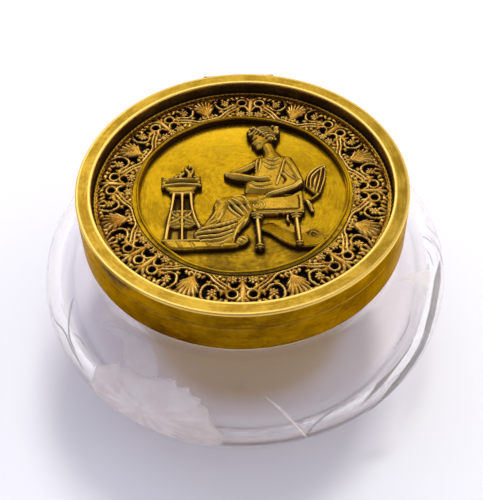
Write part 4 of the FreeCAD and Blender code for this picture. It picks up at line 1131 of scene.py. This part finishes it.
# Dress over the lap, the knees and down to the ground
woman.plate([(2.0, -1.5), (-1.5, -2.2), (-5.5, -3.0), (-8.6, -5.0), (-9.6, -7.2), (-9.2, -9.6),
             (-10.6, -12.2), (-13.0, -15.2), (-15.8, -18.0), (-15.4, -20.4), (-13.2, -23.4), (-9.5, -24.4),
             (-5.5, -24.2), (-3.0, -23.0), (-2.2, -20.4), (-0.6, -17.2), (2.0, -14.0), (2.6, -10.5),
             (4.5, -8.0), (10.0, -4.0), (17.0, -2.5)], 1.7, 2.6, 0.4)
woman.strand((-6.6, -5.7, 2.1, 2.1), (-2.0, -5.2, 2.5, 2.3), (4.0, -5.0, 2.2, 2.0), wall=0.5)
woman.strand((-6.4, -7.2, 2.2, 2.1), (-8.4, -12.0, 2.3, 2.0), (-11.0, -17.4, 2.6, 1.8), wall=0.5)
FOLDS = (
    ((-6.0, -3.4, 0.5, 0.3), (-8.6, -5.4, 0.7, 0.45), (-8.9, -8.2, 0.7, 0.3)),
    ((-3.0, -3.2, 0.6, 0.3), (0.4, -4.4, 0.7, 0.5), (2.0, -8.4, 0.6, 0.4)),
    ((-5.2, -6.4, 0.5, 0.3), (-3.6, -9.6, 0.6, 0.6), (-1.0, -12.4, 0.6, 0.5)),
    ((-4.6, -5.8, 0.5, 0.3), (-2.2, -8.0, 0.6, 0.6), (0.2, -11.4, 0.5, 0.4)),
    ((-3.4, -5.0, 0.5, 0.3), (-0.6, -7.2, 0.6, 0.55), (1.4, -10.4, 0.5, 0.4)),
    ((-4.0, -7.0, 0.4, -0.2), (-2.4, -9.6, 0.4, -0.45), (-0.2, -12.0, 0.4, -0.2)),
    ((-8.6, -9.6, 0.6, 0.2), (-9.8, -12.4, 0.8, 0.35), (-13.4, -16.4, 0.7, 0.3)),
    ((-6.4, -9.4, 0.6, 0.2), (-7.6, -13.0, 0.8, 0.4), (-13.0, -16.8, 0.6, 0.3)),
    ((-1.4, -13.2, 0.5, 0.3), (-6.0, -15.0, 0.8, 0.5), (-14.4, -17.6, 0.8, 0.5)),
    ((-2.0, -15.2, 0.5, 0.3), (-7.6, -17.8, 0.9, 0.7), (-15.0, -18.6, 0.9, 0.6)),
    ((-3.0, -17.4, 0.5, 0.3), (-8.0, -19.8, 0.7, 0.5), (-14.4, -20.2, 0.7, 0.4)),
    ((-3.4, -19.2, 0.5, 0.3), (-8.2, -21.6, 0.7, 0.5), (-13.4, -21.8, 0.7, 0.4)),
    ((-3.6, -21.0, 0.5, 0.3), (-7.6, -23.2, 0.7, 0.5), (-12.0, -23.2, 0.6, 0.4)),
    ((0.6, -13.6, 0.5, 0.3), (-1.8, -17.0, 0.6, 0.5), (-3.2, -21.6, 0.5, 0.4)),
    ((1.6, -12.6, 0.4, 0.2), (0.4, -15.0, 0.5, 0.4), (-1.6, -18.4, 0.4, 0.3)),
    ((-2.0, -14.4, 0.4, -0.3), (-7.0, -16.4, 0.5, -0.6), (-14.4, -18.2, 0.4, -0.4)),
    ((-2.8, -17.0, 0.4, -0.3), (-7.8, -18.9, 0.5, -0.7), (-14.4, -19.5, 0.4, -0.4)),
    ((-3.4, -18.6, 0.4, -0.3), (-8.0, -20.8, 0.4, -0.5), (-13.8, -21.0, 0.4, -0.3)),
)
DRAPE_WIDTH = 1.15
DRAPE_DEPTH = 0.8
for fold in FOLDS:
    woman.fold(*[(x, y, DRAPE_WIDTH * width, DRAPE_DEPTH * height) for x, y, width, height in fold])
for k in range(7):
    woman.fold((-7.4 + 0.9 * k, -10.2 - 0.5 * k, 0.25, 0.08), (-9.6 + 0.8 * k, -14.2 - 0.8 * k, 0.3, 0.16),
               (-14.2 + 0.5 * k, -17.2 - 0.9 * k, 0.3, 0.1))
woman.boss(-0.5, -21.8, 2.7, 1.9, 2.1, 48)
for k in range(3):
    woman.fold((-2.3 + 1.1 * k, -21.9 + 1.0 * k, 0.25, -0.25), (-1.5 + 1.1 * k, -22.8 + 1.0 * k, 0.3, -0.4),
               (-0.6 + 1.1 * k, -23.4 + 1.0 * k, 0.25, -0.25))
# Body and bodice
woman.plate([(1.6, -1.8), (0.8, 1.2), (1.4, 4.2), (3.6, 6.6), (4.4, 9.6), (3.0, 11.8), (4.6, 14.0),
             (8.0, 15.2), (11.5, 15.4), (15.0, 14.8), (17.0, 11.6), (18.6, 7.4), (20.0, 2.6), (19.6, 0.6),
             (16.0, -1.4), (10.0, -2.6)], 2.1, 2.8, 0.4)
for fold in (((5.6, 14.2, 0.4, 0.4), (4.9, 11.0, 0.5, 0.5), (4.6, 8.0, 0.4, 0.4)),
             ((6.6, 14.4, 0.4, 0.4), (6.2, 10.6, 0.5, 0.5), (5.6, 7.4, 0.4, 0.3)),
             ((8.0, 13.6, 0.4, 0.3), (10.4, 12.2, 0.5, 0.5), (12.8, 13.6, 0.4, 0.3)),
             ((7.6, 11.8, 0.4, 0.3), (10.0, 10.2, 0.5, 0.5), (12.4, 11.0, 0.4, 0.3)),
             ((7.8, 9.4, 0.4, 0.2), (9.6, 8.4, 0.5, 0.4), (11.6, 8.8, 0.4, 0.2)),
             ((14.4, 12.6, 0.4, 0.4), (13.0, 7.0, 0.6, 0.6), (11.2, 1.0, 0.5, 0.4)),
             ((14.0, 7.6, 0.4, 0.3), (15.6, 5.0, 0.5, 0.5), (18.0, 2.6, 0.4, 0.3)),
             ((12.6, 6.0, 0.4, -0.3), (14.2, 3.6, 0.7, -0.5), (13.4, 1.6, 0.4, -0.3)),
             ((2.6, 2.4, 0.5, 0.2), (5.4, 0.8, 0.6, 0.4), (9.6, 1.4, 0.4, 0.2)),
             ((2.4, 0.2, 0.5, 0.3), (6.0, -0.8, 0.6, 0.4), (10.0, -0.4, 0.4, 0.2)),
             ((3.0, 3.8, 0.4, -0.3), (5.6, 2.6, 0.4, -0.5), (9.0, 3.0, 0.4, -0.3))):
    woman.fold(*fold)
# Arms
woman.strand((4.6, 11.8, 1.6, 2.0), (0.6, 9.2, 1.5, 2.1), (-3.4, 7.3, 1.4, 2.2), wall=0.2)
woman.strand((-4.5, 6.7, 1.5, 2.4), (-1.8, 5.6, 2.0, 2.8), (2.0, 4.5, 1.6, 2.8), (5.6, 3.9, 1.2, 2.7),
             (8.2, 4.3, 0.9, 2.6), (9.4, 4.7, 0.5, 2.3), wall=0.2)
woman.strand((15.2, 12.8, 2.1, 2.3), (17.0, 8.6, 1.9, 2.5), (18.8, 3.2, 1.5, 2.6), wall=0.2)
woman.strand((18.9, 2.2, 1.3, 2.5), (16.6, 0.0, 1.3, 2.6), (13.2, -1.4, 1.1, 2.6), (10.2, -2.4, 0.95, 2.5),
             (8.0, -3.0, 0.6, 2.2), wall=0.2)
# Neck and head. The places on the head are shares of its height, from the ear: back and up.
HEAD = np.array((7.9, 23.2))
HEAD_HEIGHT = 10.4
HEAD_TILT = math.radians(18)


def on_head(places, *more):
    """Places on the tilted head, each followed by a strand's half width and height, if given."""
    c, s = math.cos(HEAD_TILT), math.sin(HEAD_TILT)
    return [(*(HEAD + HEAD_HEIGHT * np.array((c * x - s * y, s * x + c * y))), *more) for x, y in places]


woman.strand((10.6, 13.2, 3.9, 2.0), (10.1, 15.8, 2.5, 2.1), (9.6, 17.8, 2.1, 2.2), (9.0, 19.8, 2.2, 2.2),
             wall=0.3)
FACE = ((-0.30, 0.36), (-0.37, 0.24), (-0.385, 0.15), (-0.38, 0.07), (-0.43, -0.02), (-0.46, -0.08),
        (-0.41, -0.12), (-0.42, -0.17), (-0.40, -0.20), (-0.41, -0.23), (-0.385, -0.28), (-0.39, -0.35),
        (-0.33, -0.41),
        (-0.20, -0.38), (-0.06, -0.28), (0.06, -0.20), (0.26, -0.18), (0.40, 0.0), (0.42, 0.18), (0.30, 0.40),
        (0.06, 0.50), (-0.16, 0.46))
woman.plate(on_head(FACE), 2.35, 2.2, 0.4)
woman.boss(*on_head([(-0.20, -0.14)])[0], 1.9, 1.6, 2.5)
FEATURES = ((((-0.34, 0.05), (-0.24, 0.045)), 0.35, -0.35), (((-0.37, 0.11), (-0.22, 0.12)), 0.4, 0.25),
            (((-0.41, -0.195), (-0.32, -0.205)), 0.3, -0.3))
for line, width, rise in FEATURES:
    woman.fold(*on_head(line, width, rise))
HAIR = ((-0.36, 0.30), (-0.30, 0.42), (-0.12, 0.53), (0.12, 0.55), (0.34, 0.44), (0.46, 0.18), (0.40, -0.08),
        (0.24, -0.20), (0.08, -0.12), (0.0, 0.04), (-0.12, 0.18), (-0.24, 0.22))
woman.plate(on_head(HAIR), 2.8, 1.4, 0.55)
LOCKS = (
    ((-0.30, 0.38), (-0.05, 0.47), (0.20, 0.43), (0.42, 0.26)),
    ((-0.27, 0.30), (0.0, 0.38), (0.22, 0.34), (0.42, 0.18)),
    ((-0.18, 0.24), (0.04, 0.29), (0.24, 0.25), (0.42, 0.10)),
    ((-0.08, 0.15), (0.10, 0.19), (0.26, 0.15), (0.40, 0.02)),
    ((0.0, 0.06), (0.14, 0.08), (0.27, 0.04), (0.37, -0.05)),
    ((0.06, -0.06), (0.17, -0.04), (0.26, -0.08), (0.32, -0.13)),
)
for lock in LOCKS:
    woman.fold(*on_head(lock, 0.42, -0.55))
woman.strand(*on_head(((-0.20, 0.53), (-0.06, 0.32), (0.04, 0.08)), 0.4, 3.2))
CURLS = (((-0.38, 0.30), 0.85, 2.9), ((-0.36, 0.42), 0.95, 3.0), ((-0.25, 0.52), 0.9, 3.0),
         ((-0.12, 0.58), 0.7, 2.9), ((0.47, 0.10), 1.5, 3.0), ((0.53, 0.26), 1.3, 3.0), ((0.46, 0.42), 0.8, 2.8),
         ((0.34, -0.16), 0.8, 2.5))
for place, reach, height in CURLS:
    spot = on_head([place])[0]
    woman.boss(*spot, reach, 0.85 * reach, height, 30)
    woman.fold((spot[0] - 0.5 * reach, spot[1], 0.3, -0.2), (spot[0], spot[1] + 0.2, 0.35, -0.45),
               (spot[0] + 0.5 * reach, spot[1] - 0.1, 0.3, -0.2))
woman.soften(1)
set_on_plaque(woman, "seated_woman_cast", "seated_woman", 0.19)

# Grime and painted shade on the plaque
# Old polish has dried on the field round the foot of every figure, and painted shade lies there
# too. A painted shadow lies under the frame behind, and the field has painted shade in front and
# painted light behind.

COVER_PITCH = 0.4
COVER_REACH = 36.0
GRIME_AND_SHADE = 0.6
RIM_SHADOW = 0.9
PAINTED_SHADE_IN_FRONT = 0.5
PAINTED_LIGHT_BEHIND = 0.65
count = round(2 * COVER_REACH / COVER_PITCH) + 1
cover = np.zeros((count, count))
for casting in (ground, brazier, chair, woman):
    held = (casting.edge > 0) & (casting.top > 0.5)
    cover[np.round((casting.y[held] + COVER_REACH) / COVER_PITCH).astype(int),
          np.round((casting.x[held] + COVER_REACH) / COVER_PITCH).astype(int)] = 1
for _ in range(7):
    for axis in (0, 1):
        cover = (np.roll(cover, 1, axis) + 2 * cover + np.roll(cover, -1, axis)) / 4
places = np.empty(3 * len(plaque.data.vertices))
plaque.data.vertices.foreach_get("co", places)
places = places.reshape(-1, 3) / MM
spots = np.round((places[:, :2] + COVER_REACH) / COVER_PITCH).astype(int)
tone_and_painted_light = plaque.data.attributes["tone_and_painted_light"].data
held = np.empty(len(tone_and_painted_light), np.float32)
tone_and_painted_light.foreach_get("value", held)
# Grime round the foot of every figure, with painted shade
held += GRIME_AND_SHADE * np.clip(1.5 * cover[spots[:, 1], spots[:, 0]], 0, 1)
forward = -places[:, 1] / field_radius
reach = np.hypot(places[:, 0], places[:, 1]) - field_radius
# Painted shadow along the wall of the dish, behind
held += np.clip(-forward, 0, 1) * np.clip((reach + RIM_SHADOW) / 0.8, 0, 1)
# Painted shade in front and painted light behind
held += PAINTED_SHADE_IN_FRONT * np.clip(forward, 0, 1)
held -= PAINTED_LIGHT_BEHIND * np.clip(-forward - 0.1, 0, 1) * (reach < -RIM_SHADOW)
tone_and_painted_light.foreach_set("value", held)

# Back plate and screws
# A thin brass sheet closes the lid from below, held by four screws. Its upper side is painted
# black as painted shade, so the holes of the gallery look dark.

plate_high = span("lid_back_plate")[1]
PLATE_GILT = (0.58, 0.36, 0.06, 1.0)
PLATE_DULL = (0.44, 0.26, 0.036, 1.0)
PLATE_SHADE_BLACK = (0.008, 0.004, 0.002, 1.0)


def plate_brass():
    material, start = new_finish("plate_brass")
    place = start.place()
    cloud = start.noise(place, 120.0, 4.0)
    height = start.node("SeparateXYZ", {}, {0: place}, "Z")
    # Painted shade: the upper side is black, so the gallery's holes look dark
    black = height.ease((plate_high.z - 0.3) * MM, (plate_high.z - 0.1) * MM)
    metal = start.node("BsdfPrincipled", {}, {
        "Base Color": black.mix(cloud.ease(0.25, 0.85).mix(PLATE_GILT, PLATE_DULL), PLATE_SHADE_BLACK),
        "Metallic": 1.0 - black, "Roughness": 0.32 + 0.08 * cloud + 0.45 * black})
    start.node("OutputMaterial", {}, {"Surface": metal})
    return material


repaint("lid_back_plate", plate_brass())
repaint("lid_screws", shaded_side_brass)

# Stage, light and camera
# A white sheet under soft daylight. A high window behind to the right makes the shadow, and a low
# broad one behind shows in the metal. The camera itself sees plain white beyond the sheet.

FLOOR_SIZE = 4.0
FLOOR_TONE = (0.95, 0.95, 0.96, 1.0)
floor_mesh = bpy.data.meshes.new("floor")
half = FLOOR_SIZE / 2
floor_mesh.from_pydata([(-half, -half, -0.0001), (half, -half, -0.0001), (half, half, -0.0001),
                        (-half, half, -0.0001)], [], [(0, 1, 2, 3)])
floor = bpy.data.objects.new("floor", floor_mesh)
bpy.context.scene.collection.objects.link(floor)
paper, start = new_finish("floor_paper")
matt = start.node("BsdfDiffuse", {}, {"Color": FLOOR_TONE})
start.node("OutputMaterial", {}, {"Surface": matt})
floor.data.materials.append(paper)
floor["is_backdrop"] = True


def lamp(name, place, aim, size, power, colour):
    light = bpy.data.lights.new(name, "AREA")
    light.shape = "SQUARE"
    light.size = size
    light.energy = power
    light.color = colour
    holder = bpy.data.objects.new(name, light)
    holder.location = place
    holder.rotation_euler = (Vector(aim) - Vector(place)).to_track_quat("-Z", "Y").to_euler()
    bpy.context.scene.collection.objects.link(holder)
    return holder


LAMP_AIM = (0, 0, 0.03)
window = lamp("window_high", (0.20, 0.556, 1.016), LAMP_AIM, 0.22, 6.3, (1.0, 0.985, 0.96))
window.visible_glossy = False
lamp("window_back", (-0.08, 0.60, 0.80), LAMP_AIM, 0.50, 0.95, (1.0, 0.98, 0.95))

# The room is lightest behind and to the right, bluish to the left and dim in front
SKY_LEFT, SKY_RIGHT = (0.78, 0.81, 1.22, 1.0), (1.45, 1.42, 1.42, 1.0)
SKY_FRONT, SKY_BEHIND = (0.24, 0.23, 0.32, 1.0), (1.10, 1.09, 1.13, 1.0)
SKY_ABOVE = (0.38, 0.38, 0.42, 1.0)
world = bpy.data.worlds.new("studio")
world.use_nodes = True
world.node_tree.nodes.clear()
sky = Value(world.node_tree)
toward = sky.node("TexCoord", output="Generated")
across = sky.node("SeparateXYZ", {}, {0: toward}, "X")
ahead = sky.node("SeparateXYZ", {}, {0: toward}, "Y")
rise = sky.node("SeparateXYZ", {}, {0: toward}, "Z")
sides = across.ease(-0.2, 0.2).mix(SKY_LEFT, SKY_RIGHT)
depth = ahead.ease(-0.2, 0.2).mix(SKY_FRONT, SKY_BEHIND)
level = (ahead * ahead / (across * across + ahead * ahead + 0.0001)).mix(sides, depth)
air = sky.node("Background", {}, {"Color": (rise * rise).mix(level, SKY_ABOVE), "Strength": 1.0})
white = sky.node("Background", {}, {"Color": (1.0, 1.0, 1.0, 1.0), "Strength": 1.0})
seen = sky.node("MixShader", {}, {0: sky.node("LightPath", output="Is Camera Ray"), 1: air, 2: white})
sky.node("OutputWorld", {}, {"Surface": seen})
bpy.context.scene.world = world

FOCAL_PIXELS = 1000.0
IMAGE_WIDTH = 483
CAMERA_DISTANCE = 0.3491
CAMERA_AIM = Vector((-0.00089, 0.0, 0.02988))
ELEVATION = math.radians(49.43)
ROLL = math.radians(-1.846)
camera_data = bpy.data.cameras.new("camera")
camera_data.sensor_fit = "HORIZONTAL"
camera_data.sensor_width = 36.0
camera_data.lens = FOCAL_PIXELS / IMAGE_WIDTH * camera_data.sensor_width
camera_data.clip_start = 0.01
camera = bpy.data.objects.new("camera", camera_data)
bpy.context.scene.collection.objects.link(camera)
back = Vector((0, -math.cos(ELEVATION), math.sin(ELEVATION)))
across = Vector((1, 0, 0))
upward = Vector((0, math.sin(ELEVATION), math.cos(ELEVATION)))
right = math.cos(ROLL) * across + math.sin(ROLL) * upward
top = math.cos(ROLL) * upward - math.sin(ROLL) * across
turn = Matrix((right, top, back)).transposed()
camera.matrix_world = Matrix.Translation(CAMERA_AIM + back * CAMERA_DISTANCE) @ turn.to_4x4()
bpy.context.scene.camera = camera
bpy.context.scene.view_settings.view_transform = "Standard"

low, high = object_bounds()
